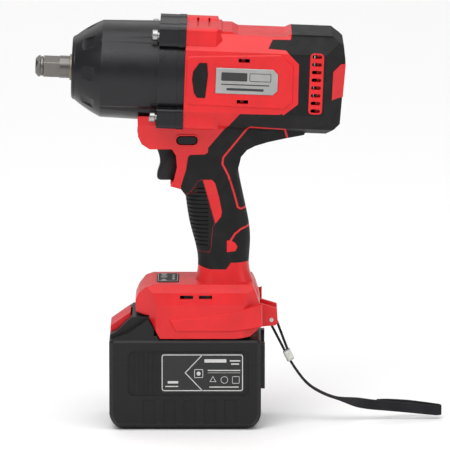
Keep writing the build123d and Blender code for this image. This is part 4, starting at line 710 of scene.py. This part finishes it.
plate_low, plate_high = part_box("nameplates")
plate_middle = (plate_low + plate_high) / 2
plate_length = (plate_high.x - plate_low.x) * 0.985
plate_height = (plate_high.z - plate_low.z) * 0.90
plate_polygons = plate_marks(plate_length, plate_height)
for side_name, side in (("left", -1), ("right", 1)):
    face_y = plate_low.y if side < 0 else plate_high.y

    def on_plate(x, y, lift, side=side, face_y=face_y):
        point = plate_middle + ALONG * (-side * x) + UP * y
        return Vector((point.x, face_y + side * lift, point.z))

    printed(f"plate_print_{side_name}", plate_polygons, on_plate, black_ink, "tool")

# control panel: three lamps, three ticks and a generic power ring on the button
panel_low, panel_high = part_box("control_panel")
button_low, button_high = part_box("mode_button")


def on_panel(x, y, lift):
    return Vector(((panel_low.x + panel_high.x) / 2 + x, y, panel_high.z + lift))


def on_button(x, y, lift):
    return Vector(((button_low.x + button_high.x) / 2 + x, y, button_high.z + lift))


lamp_spots = [Vector((4.4 * MM, k * 8.0 * MM)) for k in (-1, 0, 1)]
printed("panel_lamps", [disc(spot, 1.1 * MM) for spot in lamp_spots], on_panel, white_ink, "tool",
        0.25 * MM)
panel_lines = strip(rounded_box(Vector((0, 0)), 15.0 * MM, 33.5 * MM, 2.0 * MM), 0.35 * MM, True)
for side in (-1, 1):
    for k in range(3):
        panel_lines.append(rounded_box(Vector((-3.2 * MM, side * (9.5 + 2.2 * k) * MM)), (2.0 + 1.6 * k) * MM,
                                       1.1 * MM, 0.2 * MM, 2))
printed("panel_print", panel_lines, on_panel, white_ink, "tool")
ring_line = [Vector((1.7 * MM * math.cos(a), 1.7 * MM * math.sin(a)))
             for a in (math.radians(35 + 290 * k / 16) for k in range(17))]
button_lines = strip(ring_line, 0.4 * MM) + strip([Vector((0.6 * MM, 0)), Vector((2.2 * MM, 0))], 0.4 * MM)
printed("button_print", button_lines, on_button, white_ink, "mode_button")

# ---- floor, light and camera ----
# the camera aims at this point, near the middle of the tool and its strap
CENTRE = Vector((0.031, 0.0, 0.1557))


def area_light(name, place, aim, size, power, colour=(1.0, 1.0, 1.0)):
    """Rectangular soft light aimed at a point."""
    data = bpy.data.lights.new(name, "AREA")
    data.shape = "RECTANGLE"
    data.size, data.size_y = size
    data.energy = power
    data.color = colour
    lamp = bpy.data.objects.new(name, data)
    lamp.location = place
    lamp.rotation_euler = (Vector(aim) - Vector(place)).to_track_quat("-Z", "Y").to_euler()
    bpy.context.scene.collection.objects.link(lamp)


def sun_light(name, place, strength, softness):
    """Distant soft light that shines from place towards the middle of the tool."""
    data = bpy.data.lights.new(name, "SUN")
    data.energy = strength
    data.angle = math.radians(softness)
    lamp = bpy.data.objects.new(name, data)
    lamp.rotation_euler = (CENTRE - Vector(place)).to_track_quat("-Z", "Y").to_euler()
    bpy.context.scene.collection.objects.link(lamp)


area_light("key_light", (-0.55, -1.0, 1.15), CENTRE, (0.9, 0.7), 8.5)
area_light("right_light", (1.3, -0.6, 0.7), CENTRE, (0.6, 0.9), 3.0)
sun_light("top_sun", (0.1, -0.35, 1.6), 1.9, 60.0)
sun_light("back_sun", (-0.4, 1.2, 1.3), 0.5, 50.0)

# the camera sees a white studio; everything else is lit by a dimmer one
WORLD_STRENGTH = 0.36
world = bpy.data.worlds.new("studio_white")
world.use_nodes = True
world_nodes, world_links = world.node_tree.nodes, world.node_tree.links
seen = world_nodes.new("ShaderNodeLightPath").outputs["Is Camera Ray"]
strength = world_nodes.new("ShaderNodeMapRange")
world_links.new(seen, strength.inputs["Value"])
strength.inputs["To Min"].default_value = WORLD_STRENGTH
world_links.new(strength.outputs["Result"], world_nodes["Background"].inputs["Strength"])
world_nodes["Background"].inputs["Color"].default_value = (1.0, 1.0, 1.0, 1.0)
bpy.context.scene.world = world

FLOOR_HALF = 6.0
floor_mesh = bpy.data.meshes.new("studio_floor")
floor_mesh.from_pydata([(-FLOOR_HALF, -FLOOR_HALF, 0.0), (FLOOR_HALF, -FLOOR_HALF, 0.0),
                        (FLOOR_HALF, FLOOR_HALF, 0.0), (-FLOOR_HALF, FLOOR_HALF, 0.0)], [], [(0, 1, 2, 3)])
floor = bpy.data.objects.new("studio_floor", floor_mesh)
bpy.context.scene.collection.objects.link(floor)
floor_shader = Shader("floor_paint")
floor.data.materials.append(floor_shader.finish((0.92, 0.92, 0.92, 1.0), 0.6))

CAMERA_DISTANCE = 4.0
CAMERA_ELEVATION = math.radians(9.9)
camera_data = bpy.data.cameras.new("photo_camera")
camera_data.sensor_width = 36.0
camera_data.lens = 410.3
camera_data.clip_end = 30.0
camera = bpy.data.objects.new("photo_camera", camera_data)
camera_side = Vector((0.0, -math.cos(CAMERA_ELEVATION), math.sin(CAMERA_ELEVATION)))
camera.location = CENTRE + CAMERA_DISTANCE * camera_side
camera.rotation_euler = (CENTRE - camera.location).to_track_quat("-Z", "Y").to_euler()
bpy.context.scene.collection.objects.link(camera)
bpy.context.scene.camera = camera
bpy.context.scene.view_settings.view_transform = "Standard"
